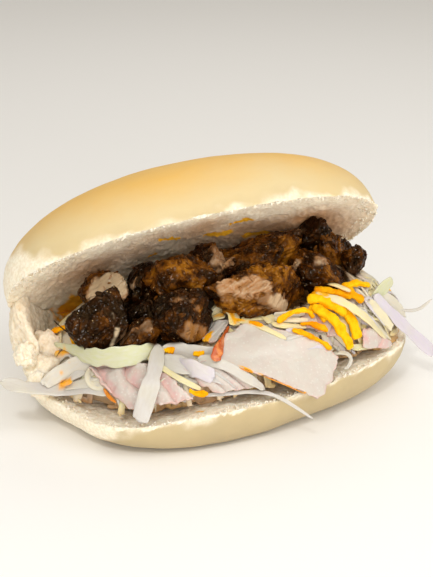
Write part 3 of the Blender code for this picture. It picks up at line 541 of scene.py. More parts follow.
def ball(name, around, tilts, place, crowd=0.0):
    """A closed surface place(angle, tilt): rings round an axis, closed by a point at each pole.

    The angle runs from -pi to pi round the axis and the tilt from pole to pole, -pi/2 to pi/2.
    Crowd draws the angles towards -pi/2, the front, by angle - crowd * cos(angle).
    """
    ring_angle = np.linspace(-math.pi, math.pi, around, endpoint=False)
    ring_angle = ring_angle - crowd * (np.cos(ring_angle) + 1)
    angle, tilt = np.meshgrid(ring_angle, tilts)
    angle = np.concatenate([[0], angle.ravel(), [0]])
    tilt = np.concatenate([[-math.pi / 2], tilt.ravel(), [math.pi / 2]])
    ring = 1 + np.arange(len(tilts) * around).reshape(len(tilts), around)
    ahead = np.roll(ring, -1, axis=1)
    quads = np.stack([ring[:-1], ahead[:-1], ahead[1:], ring[1:]], axis=-1)
    south = np.stack([np.zeros(around, int), ahead[0], ring[0]], axis=-1)
    north = np.stack([ring[-1], ahead[-1], np.full(around, len(angle) - 1)], axis=-1)
    return new_mesh(name, place(angle, tilt), quads, np.concatenate([south, north]))


def ring_tilts(count):
    """The tilts of that many rings, evenly spaced between the poles."""
    return np.linspace(-0.5, 0.5, count + 2)[1:-1] * math.pi


def on_sphere(angle, tilt):
    """The point of a unit sphere at an angle round +Z and a tilt above its equator."""
    flat = np.cos(tilt)
    return np.stack([flat * np.cos(angle), flat * np.sin(angle), np.sin(tilt)], axis=1)


def curve(points, share):
    """A smooth curve through the points: a Catmull-Rom spline."""
    ends = np.vstack([2 * points[0] - points[1], points, 2 * points[-1] - points[-2]])
    at = np.clip(share, 0, 1) * (len(points) - 1)
    first = np.minimum(at.astype(int), len(points) - 2)
    t = (at - first)[:, None]
    a, b, c, d = (ends[first + step] for step in range(4))
    return b + 0.5 * t * (c - a + t * (2 * a - 5 * b + 4 * c - d + t * (3 * (b - c) + d - a)))


def strip_faces(strips, steps, profile):
    """The faces of strips whose points are rings and then two tips: quads, and end triangles."""
    ring = np.arange(steps * profile).reshape(steps, profile)
    after = np.roll(ring, -1, axis=1)
    quads = np.stack([ring[:-1], ring[1:], after[1:], after[:-1]], axis=-1).reshape(-1, 4)
    tip = np.full(profile, steps * profile)
    first = np.stack([ring[0], after[0], tip], axis=-1)
    last = np.stack([after[-1], ring[-1], tip + 1], axis=-1)
    jump = (np.arange(strips) * (steps * profile + 2))[:, None, None]
    return quads + jump, (np.concatenate([first, last]) + jump).reshape(-1, 3)


def ribbons(
    name,
    middle,
    up,
    width,
    thickness,
    tint,
    profile=10,
    power=0.6,
    blunt=8,
    wave=0.0,
    curl=0.0,
    belly=0.0,
    fray=0.0,
):
    """Closed strips, a flattened ring carried along each middle line.

    middle and up hold a point and a direction for each strip and step along it, width its width
    at both ends. At an angle a round the ring the surface stands cos(a) ** power of the half
    width across and sin(a) ** power of the half thickness up. The size falls to nothing at both
    ends by the power blunt, belly widens the middle, wave bends the edges up and down by noise,
    curl lifts both edges like a gutter, and fray draws the ends out by noise across them. Each
    strip keeps its tint in a field of that name.
    """
    strips, steps, _ = middle.shape
    share = np.linspace(0, 1, steps)
    ahead = unit(np.gradient(middle, axis=1))
    side = unit(np.cross(ahead, up))
    up = np.cross(side, ahead)
    turn = np.linspace(0, 2 * math.pi, profile, endpoint=False)
    across = signed_power(np.cos(turn), power)
    high = signed_power(np.sin(turn), power)
    girth = np.clip(1 - np.abs(2 * share - 1) ** blunt, 0.02, 1) ** 0.5
    half = (width[:, :1] + (width[:, 1:] - width[:, :1]) * share) / 2
    half = half * (1 + belly * 4 * share * (1 - share))
    # noise whose own seed is the third coordinate, stretched along each strip
    seeds = np.arange(strips)[:, None, None] * 7.3
    span = np.linalg.norm(np.diff(middle, axis=1), axis=2).sum(1)[:, None, None]
    along = share[None, :, None] * span + 0 * across
    where = np.stack([along / 0.006, seeds + across * 0.9 + 0 * along, seeds + 0 * along], axis=-1)
    ripple, notch, ragged = (
        lattice_noise(where.reshape(-1, 3) * stretch, seed).reshape(where.shape[:3])
        for stretch, seed in ((1, 17), ((1.7, 0.1, 1), 29), ((0.2, 2.4, 1), 31))
    )
    reach = half[:, :, None] * girth[None, :, None] * (1 + 0.20 * notch)
    bend = wave * ripple * np.abs(across) + curl * half[:, :, None] * 2 * across**2
    lift = high * girth[None, :, None] * thickness / 2 + bend
    ragged = ragged * fray * smooth(np.abs(2 * share - 1), 0.8, 1.0)[None, :, None]
    rings = middle[:, :, None] + side[:, :, None] * (reach * across)[..., None]
    rings = rings + up[:, :, None] * lift[..., None]
    rings = rings + ahead[:, :, None] * ragged[..., None]
    tips = np.stack([rings[:, 0].mean(1), rings[:, -1].mean(1)], axis=1)
    points = np.concatenate([rings.reshape(strips, -1, 3), tips], axis=1)
    at_tips = np.zeros((strips, 2))
    return new_mesh(
        name,
        points.reshape(-1, 3),
        *strip_faces(strips, steps, profile),
        tint=np.repeat(tint, points.shape[1]),
        across=np.concatenate([(across + 0 * reach).reshape(strips, -1), at_tips], 1).ravel(),
        along=np.concatenate([along.reshape(strips, -1) / 0.01, at_tips], 1).ravel(),
    )


def ribbons_along(name, table, up_at, thickness, steps=26, **settings):
    """Ribbons from rows of two widths, a tint and the points of a middle line, in millimetres."""
    share = np.linspace(0, 1, steps)
    middle = np.stack([curve(np.array(row[3]) * MM, share) for row in table])
    up = up_at(middle.reshape(-1, 3)).reshape(middle.shape)
    width = np.array([row[:2] for row in table]) * MM
    return ribbons(name, middle, up, width, thickness, np.array([row[2] for row in table]), **settings)


def plug(tree, made, inputs):
    """Sets a node's inputs, or links each to a socket or to the output in use of a node."""
    for key, value in inputs.items():
        if isinstance(value, bpy.types.Node):
            value = next(socket for socket in value.outputs if socket.enabled)
        if isinstance(value, bpy.types.NodeSocket):
            tree.links.new(value, made.inputs[key])
        else:
            made.inputs[key].default_value = value


def node(tree, kind, inputs=None, stops=(), **settings):
    """Adds a shader node, applies its settings, and sets or links its inputs."""
    made = tree.nodes.new("ShaderNode" + kind)
    for key, value in settings.items():
        setattr(made, key, value)
    plug(tree, made, inputs or {})
    for number, (place, tint) in enumerate(stops):
        if number >= len(made.color_ramp.elements):
            made.color_ramp.elements.new(1.0)
        point = made.color_ramp.elements[number]
        point.position = place
        point.color = tint if np.ndim(tint) else (tint, tint, tint, 1)
    return made


def new_material(name, fields=(), **constants):
    """A Principled material: its tree and shader, its object coordinates and its mesh's fields."""
    made = bpy.data.materials.new(name)
    made.use_nodes = True
    tree = made.node_tree
    shader = tree.nodes["Principled BSDF"]
    plug(tree, shader, {key.replace("_", " "): value for key, value in constants.items()})
    place = node(tree, "TexCoord").outputs["Object"]
    known = (node(tree, "Attribute", attribute_name=key).outputs["Fac"] for key in fields)
    return made, tree, shader, place, *known


def dress(obj, material, slot, *nodes):
    """Gives a piece its material, makes it ride on the root and hides the imported parts it stands for;
    slot is not used.
    """
    obj.data.materials.append(material)
    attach(obj, "root")
    if nodes:
        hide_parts(*nodes)
    return obj


def colour(name, code, description):
    """A colour that can be changed, from its sRGB hex value."""
    return FloatVectorProperty(
        name=name, description=description, subtype="COLOR", size=4, min=0, max=1, default=linear(code)
    )


def length(name, default, description):
    """A length that can be changed, in metres."""
    return FloatProperty(name=name, description=description, default=default, min=0, unit="LENGTH")


def number_of(name, default, description):
    """A number of pieces that can be changed, at least one."""
    return IntProperty(name=name, description=description, default=default, min=1)


# --- settings --------------------------------------------------------------------------------
class SandwichRoll(bpy.types.PropertyGroup):
    """Sizes and colours of the roll."""

    top: colour("Top of the crust", "E2B45E", "Where the crust baked longest")
    side: colour("Side of the crust", "D7C293", "The paler crust lower down")
    # the base's crust mostly takes these two tones, duller than the lid's and darker towards its
    # underside: partly its own colour, partly painted shade
    under: colour("Under the roll", "B9A680", "The crust that lay on the tray")
    crumb: colour("Crumb", "FEF3DC", "The white inside of the roll")
    # painted shade: the darker colour of the crumb in its holes and hollows
    hole_shade: colour("Holes in the crumb", "E0C8A0", "The walls of the crumb's holes")
    # painted shade under the lid, and the juice soaked into the crumb close to the chicken
    soaked_and_shaded: colour("Soaked crumb", "B4763A", "The crumb close to the chicken, wet with its juice")
    sauce: colour("Sauce stain", "FFB424", "Orange sauce soaked into the crumb")
    relief: length("Crumb relief", 0.0009, "Height of the crumb's lumps")
    tufts: number_of("Tufts", 700, "Torn tufts along the cut")


class SandwichFilling(bpy.types.PropertyGroup):
    """Sizes and colours of the cabbage, cheese and ham."""

    white: colour("White cabbage", "BEB9B6", "The thick white part of a leaf")
    green: colour("Green cabbage", "C6C698", "The thin outer part of a leaf")
    yellow: colour("Yellow cabbage", "EBCF7C", "The inner leaves")
    lilac: colour("Lilac cabbage", "CDC3CD", "White cabbage tinged by the red")
    cheese: colour("Cheese", "FFBC10", "Coarsely grated orange cheese")
    sauce: colour("Sauce", "F8AC18", "Orange sauce on the filling")
    red: colour("Red sauce", "B85624", "The smear of red sauce on the ham")
    ham: colour("Ham", "CABDB2", "Cooked ham")
    fat: colour("Ham mottling", "CCC5B9", "The paler muscle in the ham")
    # also painted as shade in the valleys of the folds
    rim: colour("Rim of the ham", "DDAEA2", "The cured edge of a slice")
    shreds: number_of("Shreds", 330, "Loose shreds on the heap")
    hanging: number_of("Hanging", 120, "Shreds down the side of the heap")


class SandwichChicken(bpy.types.PropertyGroup):
    """Colours of the chicken."""

    char: colour("Char", "0C0401", "Burnt edges of the glaze")
    dark: colour("Dark glaze", "2A1304", "Where the marinade baked hard")
    glaze: colour("Glaze", "5E3408", "Dark jerk marinade baked on the meat")
    gold: colour("Thin glaze", "8E5A14", "Where the marinade is thin")
    flesh: colour("Meat", "AC8560", "The cut meat")
    fat: colour("Fat", "CCB694", "Pale fat at the edge of the meat")
    crags: length("Crags", 0.0011, "Height of the crags of the glaze")
    scraps: number_of("Scraps", 420, "Flakes and shreds of meat")


class SandwichSettings(bpy.types.PropertyGroup):
    """All the settings of the sandwich."""

    roll: PointerProperty(type=SandwichRoll)
    filling: PointerProperty(type=SandwichFilling)
    chicken: PointerProperty(type=SandwichChicken)


# --- the form of the roll --------------------------------------------------------------------
def bumps(angle, table):
    """The sum of the bell-shaped swells of a table, at an angle round the roll."""
    total = 0 * angle
    for middle, size, width in table:
        away = np.angle(np.exp(1j * (angle - math.radians(middle)))) / math.radians(width)
        total = total + size * np.exp(-(away**2))
    return total


def base_outline(angle):
    """The base's plan outline: |x / a| ** PLAN_POWER + |y / b| ** PLAN_POWER = 1, with swells.

    In front, b grows to the left and shrinks to the right by FRONT_SKEW.
    """
    width = HALF_WIDTH * (1 - FRONT_SKEW * np.cos(angle) * (np.sin(angle) < 0))
    across = np.abs(np.cos(angle) / HALF_LENGTH) ** PLAN_POWER
    across = across + np.abs(np.sin(angle) / width) ** PLAN_POWER
    reach = across ** (-1 / PLAN_POWER) * (1 + bumps(angle, OUTLINE_SWELLS))
    return reach * np.cos(angle), reach * np.sin(angle)


def rim_height(angle):
    """How high the base's rim stands, at an angle round the roll."""
    return RIM_HEIGHT + bumps(angle, RIM_RISES)


def base_lift(x):
    """How far the underside curls off the table: the square of the way to the right end."""
    return END_LIFT * np.clip((x / HALF_LENGTH - 0.55) / 0.45, 0, 1) ** 2


def outline_share(x, y):
    """How far out a place in plan is: 0 at the middle, 1 on the base's outline."""
    edge_x, edge_y = base_outline(np.arctan2(y, x))
    return np.hypot(x, y) / np.hypot(edge_x, edge_y)


def crumb_height(x, y):
    """The base's dished crumb, without its relief."""
    share = np.clip(outline_share(x, y), 0, 1)
    return rim_height(np.arctan2(y, x)) - BASE_DISH * (1 - share**2)


def base_place(angle, tilt):
    """Below the equator a rounded side and a flat underside; above it the dished crumb.

    The side is a quarter round that draws the outline in by 1 - cos and drops by sin ** 0.9.
    """
    tilt = tilt / (math.pi / 2)
    edge_x, edge_y = base_outline(angle)
    reach = np.hypot(edge_x, edge_y)
    side = np.clip(-tilt / SIDE_SHARE, 0, 1) * math.pi / 2
    inset = (SIDE_ROUND + END_ROUND * np.cos(angle) ** 2) * (1 - np.cos(side))
    flat = np.clip((-tilt - SIDE_SHARE) / (1 - SIDE_SHARE), 0, 1)
    under = (1 - inset / reach) * (1 - flat)
    share = np.where(tilt < 0, under, np.cos(tilt * math.pi / 2))
    x, y = edge_x * share, edge_y * share
    rim = rim_height(angle)
    z_under = (rim - base_lift(edge_x)) * (1 - np.sin(side) ** 0.9) + base_lift(x) * (1 - flat)
    z_crumb = rim - BASE_DISH * (1 - share**2)
    z = np.where(tilt < 0, z_under, z_crumb)
    return np.stack([x, y, np.where(flat > 0, 0.0, z)], axis=1)


def lid_outline(angle):
    """The lid's outline in its own plane: an oval of the same power, trimmed at its left."""
    reach = LID_HALF_LENGTH * (1 - LID_LEFT_TRIM * (1 - np.cos(angle)) / 2)
    x = reach * signed_power(np.cos(angle), 2 / PLAN_POWER)
    return x, LID_HALF_WIDTH * signed_power(np.sin(angle), 2 / PLAN_POWER)


def lid_to_world(points):
    """Points of the lid's own frame, where its cut plane is z = 0, at their place."""
    return points @ LID_AXES.T + LID_CENTRE


def lid_local(points):
    """Points in the lid's own frame."""
    return (points - LID_CENTRE) @ LID_AXES


def lid_sag(y):
    """How far the lid's front hangs below its cut plane: the square of how far forward it is."""
    return LID_FRONT_SAG * np.clip(-y / LID_HALF_WIDTH, 0, 1) ** 2


def lid_place(angle, tilt):
    """Above the equator the crusty dome; below it the crumb, hollowed upwards.

    The outline shrinks by cos(tilt) ** LID_SPREAD and the dome rises by sin(tilt) ** 0.9.
    """
    share = np.cos(tilt) ** LID_SPREAD
    edge_x, edge_y = lid_outline(angle)
    above = np.clip(tilt, 0, None)
    swell = 1 + 0.02 * np.sin(above * 2)
    x, y = edge_x * share * swell, edge_y * share * swell
    dome = LID_DOME * np.sin(above) ** 0.9
    z = np.where(tilt > 0, dome, LID_HOLLOW * (1 - share**2)) - lid_sag(y)
    return lid_to_world(np.stack([x, y, z], axis=1))


def hinge_place(around, tilt):
    """The uncut bread at the back: a thick band from the base's rim up to the lid's.

    Along it runs an angle of both outlines. Round it, sin(around) is the rise from rim to rim
    and cos(around) ** 0.6 of the half thickness stands outwards. Both shrink at its two ends.
    """
    along = 0.5 + tilt / math.pi
    girth = np.cos(tilt)
    taper = np.clip(girth * 3, 0, 1)
    angle = HINGE_TO + (HINGE_FROM - HINGE_TO) * along
    base_x, base_y = base_outline(angle)
    low = np.stack([base_x, base_y, rim_height(angle) - 0.004], axis=1)
    lid_x, lid_y = lid_outline(angle)
    high = lid_to_world(np.stack([lid_x, lid_y, np.full(len(angle), 0.004)], axis=1))
    outward = on_sphere(angle, 0 * angle)
    rise = (np.sin(around) * taper + 1) / 2
    depth = signed_power(np.cos(around), 0.6) * taper * HINGE_THICKNESS / 2
    inset = HINGE_THICKNESS / 2 + 0.0010
    middle = low + (high - low) * rise[:, None]
    bulge = HINGE_BULGE * np.sin(rise * math.pi)
    return middle + outward * (depth - inset + bulge)[:, None]


def crumb_relief(points, seed, relief):
    """The torn crumb: wide lumps, finer fluff on them, and open holes of about a millimetre."""
    lumps = 0.8 * lattice_noise(points / 0.009, seed) + 0.7 * lattice_noise(points / 0.0042, seed + 1)
    fluff = 0.7 * ridges(points, 0.0026, seed + 2) + 0.4 * lattice_noise(points / 0.0011, seed + 6)
    holes = pits(points, 0.0019, seed + 3) * (0.35 + 0.65 * (lattice_noise(points / 0.006, seed + 5) > 0))
    height = lumps + fluff - 0.8 * holes - 0.35
    # the second value is painted shade, strongest in the holes and in the low parts of the relief
    return relief * height, np.clip(0.55 * holes + 0.30 * smooth(0.2 - height), 0, 1)


def crust_relief(points, seed):
    """The crust: broad soft dents and a faint leathery pebbling."""
    dents = 0.00050 * lattice_noise(points / 0.026, seed) + 0.00016 * rough(points, 0.009, seed + 1, 2)
    return dents + 0.00003 * lattice_noise(points / 0.0016, seed + 4)


def cover_crumb(obj, crumb, bake, torn, seed, relief, open_holes=1.0):
    """Gives a part of the roll its relief and the fields that its material reads."""
    points = points_of(obj)
    height, holes = crumb_relief(points, seed, relief)
    amount = crumb * height + (1 - crumb) * crust_relief(points, seed)
    amount = amount + torn * (1 - crumb) * relief * 0.6 * ridges(points, 0.0045, seed + 9)
    on_table = smooth(points[:, 2] / 0.0012)
    push_out(obj, on_table * amount)
    set_field(obj, "crumb", np.maximum(crumb, torn))
    set_field(obj, "bake", bake)
    # painted shade in the crumb's holes and hollows
    set_field(obj, "hole_shade", open_holes * holes * crumb)
    set_field(obj, "stain", smears(points, CRUMB_STAINS) * np.maximum(crumb, 0.7))
    # painted shade under the lid, with the chicken's juice soaked in
    set_field(obj, "depth", shade_and_soak_under_lid(points) * crumb)


def shade_and_soak_under_lid(points):
    """Painted shade and soaked juice: 0 where the crumb is open to the light, rising to 0.9 close to the
    chicken.
    """
    away = chunk_distance(points)
    return 0.55 * smooth(1 - away / 0.012) + 0.35 * smooth(1 - away / 0.024)


# --- the form of the filling -----------------------------------------------------------------
def heap_reach(angle):
    """How far out the heap reaches, as a share of the base's outline."""
    return HEAP_REACH + bumps(angle, HEAP_REACHES)


def heap_height(x, y):
    """How high the cabbage stands above the crumb: a rounded loaf, taller right and back.

    Along X its height is the parabola through HEAP_LEFT, HEAP_MIDDLE and HEAP_RIGHT, and
    outwards it falls off by sqrt(1 - share ** 4).
    """
    share = outline_share(x, y) / heap_reach(np.arctan2(y, x))
    along = np.clip(x / HALF_LENGTH, -1, 1)
    tall = HEAP_MIDDLE + (HEAP_RIGHT - HEAP_LEFT) / 2 * along
    tall = tall + ((HEAP_RIGHT + HEAP_LEFT) / 2 - HEAP_MIDDLE) * along**2
    tall = tall + HEAP_BACK_RISE * np.clip((y + 0.012) / 0.020, 0, 1)
    return tall * (1 - np.clip(share, 0, 1) ** 4) ** 0.5


def heap_top(x, y):
    """The top of the cabbage, kept below the lid's cut plane."""
    up = LID_AXES[:, 2]
    lid = LID_CENTRE[2] - (up[0] * (x - LID_CENTRE[0]) + up[1] * (y - LID_CENTRE[1])) / up[2]
    return np.minimum(crumb_height(x, y) + 0.001 + heap_height(x, y), lid - HEAP_LID_GAP)


def heap_normal(points, step=0.0015):
    """The direction the heap faces, from the slope of its top."""
    x, y = points[:, 0], points[:, 1]
    slope_x = (heap_top(x + step, y) - heap_top(x - step, y)) / (2 * step)
    slope_y = (heap_top(x, y + step) - heap_top(x, y - step)) / (2 * step)
    return unit(np.stack([-slope_x, -slope_y, np.ones(len(x))], axis=1))


def heap_place(angle, tilt):
    """The core of the heap: its top above, and lying on the crumb below.

    The base's outline shrinks by cos(tilt) ** 0.75, and is drawn in at the front.
    """
    drawn_in = 0.18 * smooth(-np.sin(angle), 0.1, 0.6)
    share = np.cos(tilt) ** 0.75 * heap_reach(angle) * (0.99 - drawn_in)
    edge_x, edge_y = base_outline(angle)
    x, y = edge_x * share, edge_y * share
    floor = crumb_height(x, y) + HEAP_FLOOR_GAP
    top = np.maximum(heap_top(x, y) - CORE_SINK, floor + 0.0005)
    return np.stack([x, y, np.where(tilt > 0, top, floor)], axis=1)


def buried(points):
    """Which points lie inside the heap or the base."""
    x, y, z = points.T
    share = outline_share(x, y)
    in_heap = (share < heap_reach(np.arctan2(y, x))) & (z < heap_top(x, y))
    return in_heap | ((share < 1) & (z < crumb_height(x, y)))


def facing(points):
    """The direction a strip on the heap looks: up in the middle, outwards at the edges."""
    out = np.stack([0.6 * (points[:, 0] / HALF_LENGTH) ** 3, points[:, 1] / 0.040], axis=1)
    return unit(np.column_stack([out, np.full(len(points), 0.8)]))


def standing(points):
    """The direction a leaf looks that stands against the chicken: outwards and a little up."""
    out = 0.5 * points[:, 0] / HALF_LENGTH
    return unit(np.stack([out, np.full(len(points), -1.0), np.full(len(points), 0.25)], axis=1))


def chunk_distance(points):
    """Roughly how far each point is from the nearest chunk of chicken."""
    nearest = np.full(len(points), 1.0)
    for _, middle, size, turn, *_ in CHICKEN:
        inside = (points - np.array(middle)) @ axes_of(turn) / np.array(size)
        away = (np.linalg.norm(inside, axis=1) - 1) * min(size)
        nearest = np.minimum(nearest, away)
    return nearest


def chunk_place(angle, tilt, size, seed):
    """A chopped lump: a rounded box pushed in and out by noise and sliced by knife cuts.

    The box is the unit sphere with its coordinates at the power 0.85, and each cut flattens
    what stands past a plane at a random slant.
    """
    sphere = on_sphere(angle, tilt)
    rng = np.random.default_rng(seed)
    swell = 1 + 0.18 * lattice_noise(sphere * 1.7 + seed, seed) + 0.10 * lattice_noise(sphere * 4.1, seed)
    points = signed_power(sphere, 0.85) * swell[:, None]
    for _ in range(6):
        normal = rng.normal(size=3)
        normal /= np.linalg.norm(normal)
        over = np.clip(points @ normal - rng.uniform(0.60, 0.82), 0, None)
        points = points - 0.95 * over[:, None] * normal
    return points * (np.array(size) + CHUNK_SWELL)


def ham_place(across, down, corners, bulge, fold, folds):
    """The middle surface of a slice: a plane between four corners, bulged and folded.

    Where the heap would stand through it, it is lifted, and the lift is averaged over the
    neighbours so that the slice drapes.
    """
    top_left, top_right, low_right, low_left = (np.array(corner) * MM for corner in corners)
    top = top_left + (top_right - top_left) * across[..., None]
    low = low_left + (low_right - low_left) * across[..., None]
    normal = np.cross(low_left - top_left, top_right - top_left)
    normal /= np.linalg.norm(normal)
    lift = bulge * np.sin(math.pi * across) ** 0.8
    lift = lift + fold * np.sin(2 * math.pi * folds * across + 2.2 * down)
    placed = top + (low - top) * down[..., None] + normal * (lift * MM)[..., None]
    rise = np.zeros(across.shape)
    for _ in range(60):
        tried = placed + normal * (rise - HAM_CLEARANCE)[..., None]
        rise = rise + 0.0002 * buried(tried.reshape(-1, 3)).reshape(across.shape)
    for _ in range(40):
        wide = np.pad(rise, 1, mode="edge")
        rise = (wide[:-2, 1:-1] + wide[2:, 1:-1] + wide[1:-1, :-2] + wide[1:-1, 2:]) / 4
    return (placed + normal * rise[..., None]).reshape(-1, 3), normal


# --- materials -------------------------------------------------------------------------------
def bread_material(looks):
    """White bread: a soft, thin, egg-gold crust and a dull open crumb."""
    # the crust has a faint sheen; the crumb scatters light inside and has no gloss
    made, tree, shader, place, crumb, bake, hole_shade, depth, stain = new_material(
        "white_bread",
        ("crumb", "bake", "hole_shade", "depth", "stain"),
        Subsurface_Weight=0.3,
        Subsurface_Scale=0.003,
        Subsurface_Radius=(1.0, 0.8, 0.6),
        Specular_IOR_Level=0.25,
    )
    # the oven browns the crust in blotches about 20 mm across
    blotch = node(tree, "TexNoise", {"Vector": place, "Scale": 45.0, "Detail": 5.0, "Roughness": 0.6})
    patchy = node(tree, "Math", {0: blotch, 1: 0.30, 2: bake}, operation="MULTIPLY_ADD")
    browned = ((0.12, looks.under), (0.45, looks.side), (1.0, looks.top))
    shade = node(tree, "ValToRGB", {"Fac": patchy}, browned)
    # pores about a millimetre across show as darker grains, and the holes and hollows darker still:
    # painted shade inside them
    fluff = node(tree, "TexNoise", {"Vector": place, "Scale": 900.0, "Detail": 3.0})
    pores = node(tree, "ValToRGB", {"Fac": fluff}, ((0.40, 0.38), (0.60, 0.0)))
    open_share = node(tree, "Math", {0: hole_shade, 1: pores}, operation="MAXIMUM")
    inside = node(tree, "Mix", {0: open_share, 6: looks.crumb, 7: looks.hole_shade}, data_type="RGBA")
    # the crumb is painted darker and browner under the lid: painted shade, and juice close to the chicken
    deep = node(tree, "Mix", {0: depth, 6: inside, 7: looks.soaked_and_shaded}, data_type="RGBA")
    both = node(tree, "Mix", {0: crumb, 6: shade, 7: deep}, data_type="RGBA")
    wet = node(tree, "Mix", {0: stain, 6: both, 7: looks.sauce}, data_type="RGBA")
    dull = node(tree, "MapRange", {"Value": crumb, "To Min": 0.50, "To Max": 0.95})
    # the crust's leathery grain is 2 mm across and shallower than the crumb's
    grain = node(tree, "TexNoise", {"Vector": place, "Scale": 420.0, "Detail": 4.0})
    mixed = node(tree, "Mix", {0: crumb, 2: grain, 3: fluff}, data_type="FLOAT")
    strong = node(tree, "MapRange", {"Value": crumb, "To Min": 0.10, "To Max": 0.60})
    bump = node(tree, "Bump", {"Height": mixed, "Strength": strong, "Distance": 0.0005})
    plug(tree, shader, {"Base Color": wet, "Roughness": dull, "Normal": bump})
    return made


def cabbage_material(looks):
    """Raw white cabbage: crisp, moist and slightly see-through, with faint veins."""
    # its juice gives a soft shine, and its flesh lets some light through
    made, tree, shader, place, tint, across, along, stain, juice_and_shade, dark = new_material(
        "raw_cabbage",
        ("tint", "across", "along", "stain", "juice_and_shade", "dark"),
        Subsurface_Weight=0.35,
        Subsurface_Scale=0.002,
        Subsurface_Radius=(1.0, 0.9, 0.75),
        Roughness=0.30,
        IOR=1.38,
    )
    # from the white rib over cream, pale yellow, green and yellow leaf to lilac and its dark skin
    stops = (
        (0.0, looks.white),
        (0.30, linear("E0D4B6")),
        (0.46, linear("EBD692")),
        (0.60, looks.green),
        (0.76, looks.yellow),
        (0.88, looks.lilac),
        (0.94, looks.lilac),
        (1.0, linear("6A5A62")),
    )
    leaf = node(tree, "ValToRGB", {"Fac": tint}, stops)
    # veins run along a strip, about half a millimetre apart
    run = node(tree, "CombineXYZ", {"X": across, "Y": along, "Z": tint})
    veins = node(tree, "TexNoise", {"Vector": run, "Scale": 3.2, "Detail": 4.0})
    shine = node(tree, "ValToRGB", {"Fac": veins}, ((0.35, 0.0), (0.65, 0.45)))
    # thinner, yellower patches are about 10 mm across
    patch = node(tree, "TexNoise", {"Vector": place, "Scale": 90.0, "Detail": 3.0})
    thin = node(tree, "ValToRGB", {"Fac": patch}, ((0.45, 0.0), (0.75, 0.5)))
    tone = leaf
    for share, over in (
        (shine, linear("CECBC6")),
        (thin, linear("CEC8AC")),
        # the chicken's juice, and juice and painted shade at the bottom of the heap
        (juice_and_shade, linear("C08A48")),
        (stain, looks.sauce),
        # painted shade close to the chicken, partly its marinade
        (dark, linear("3A2410")),
    ):
        tone = node(tree, "Mix", {0: share, 6: tone, 7: over}, data_type="RGBA")
    # where the painted shade is, the cabbage also loses its shine
    matt = node(tree, "MapRange", {"Value": dark, "To Min": 0.5, "To Max": 0.05})
    bump = node(tree, "Bump", {"Height": veins, "Strength": 0.35, "Distance": 0.0004})
    plug(tree, shader, {"Base Color": tone, "Specular IOR Level": matt, "Normal": bump})
    return made


def ham_material(looks):
    """Cooked ham, sliced: wet, finely mottled pink muscle with paler streaks."""
    # brine on the cut face gives a moist shine, and the meat lets red light through
    made, tree, shader, place, pale, edge, stain = new_material(
        "cooked_ham",
        ("pale", "edge", "stain"),
        Subsurface_Weight=0.3,
        Subsurface_Scale=0.002,
        Subsurface_Radius=(1.0, 0.6, 0.5),
        Roughness=0.26,
        IOR=1.38,
    )
    # the muscle's mottling is about 4 mm across
    mottle = node(tree, "TexNoise", {"Vector": place, "Scale": 230.0, "Detail": 5.0, "Roughness": 0.65})
    # the flat slices are paler, and painted light makes the crests of the folds paler
    paler = node(tree, "Math", {0: mottle, 1: 0.9, 2: pale}, operation="MULTIPLY_ADD")
    tones = ((0.26, linear("D0ABA4")), (0.50, looks.ham), (0.80, looks.fat))
    tone = node(tree, "ValToRGB", {"Fac": paler}, tones)
    # white grains of fat, about half a millimetre across
    grains = node(tree, "TexVoronoi", {"Vector": place, "Scale": 620.0}, feature="F1")
    fleck = node(tree, "ValToRGB", {"Fac": grains}, ((0.10, 0.7), (0.28, 0.0)))
    # the rim colour marks the cured edge of each slice, and is painted shade in the valleys of its folds
    for share, over in ((fleck, linear("D6D1C8")), (edge, looks.rim), (stain, looks.sauce)):
        tone = node(tree, "Mix", {0: share, 6: tone, 7: over}, data_type="RGBA")
    bump = node(tree, "Bump", {"Height": mottle, "Strength": 0.5, "Distance": 0.0004})
    plug(tree, shader, {"Base Color": tone, "Normal": bump})
    return made


def cheese_material(looks):
    """Hard orange cheese, coarsely grated: waxy, and deeper where sauce wets it."""
    # the grater leaves a dull, slightly torn face with almost no mirror
    made, tree, shader, place, stain = new_material(
        "grated_orange_cheese",
        ("stain",),
        Subsurface_Weight=0.2,
        Subsurface_Scale=0.002,
        Subsurface_Radius=(1.0, 0.7, 0.15),
        Roughness=0.45,
        Specular_IOR_Level=0.04,
    )
    # its colour is cloudy at about 4 mm and its torn grain is under 2 mm
    cloud = node(tree, "TexNoise", {"Vector": place, "Scale": 260.0, "Detail": 4.0})
    tones = ((0.30, linear("F29A02")), (0.50, looks.cheese), (0.70, linear("FFC61A")))
    tone = node(tree, "ValToRGB", {"Fac": cloud}, tones)
    saucy = node(tree, "Mix", {0: stain, 6: tone, 7: linear("E88A04")}, data_type="RGBA")
    grain = node(tree, "TexNoise", {"Vector": place, "Scale": 600.0, "Detail": 3.0})
    bump = node(tree, "Bump", {"Height": grain, "Strength": 0.5, "Distance": 0.0004})
    plug(tree, shader, {"Base Color": saucy, "Normal": bump})
    return made


def sauce_material(looks):
    """Chilli and pepper sauce: wet and see-through where it is thin."""
    # a wet film has a sharp shine
    made, tree, shader, place, tint = new_material(
        "pepper_sauce",
        ("tint",),
        Subsurface_Weight=0.3,
        Subsurface_Scale=0.001,
        Subsurface_Radius=(1.0, 0.5, 0.2),
        Roughness=0.2,
        IOR=1.42,
    )
    tone = node(tree, "Mix", {0: tint, 6: looks.sauce, 7: looks.red}, data_type="RGBA")
    # it is thin and pale in patches of about 3 mm
    patch = node(tree, "TexNoise", {"Vector": place, "Scale": 350.0, "Detail": 3.0})
    thin = node(tree, "ValToRGB", {"Fac": patch}, ((0.48, 0.0), (0.70, 0.7)))
    mixed = node(tree, "Mix", {0: thin, 6: tone, 7: linear("F2A860")}, data_type="RGBA")
    plug(tree, shader, {"Base Color": mixed})
    return made


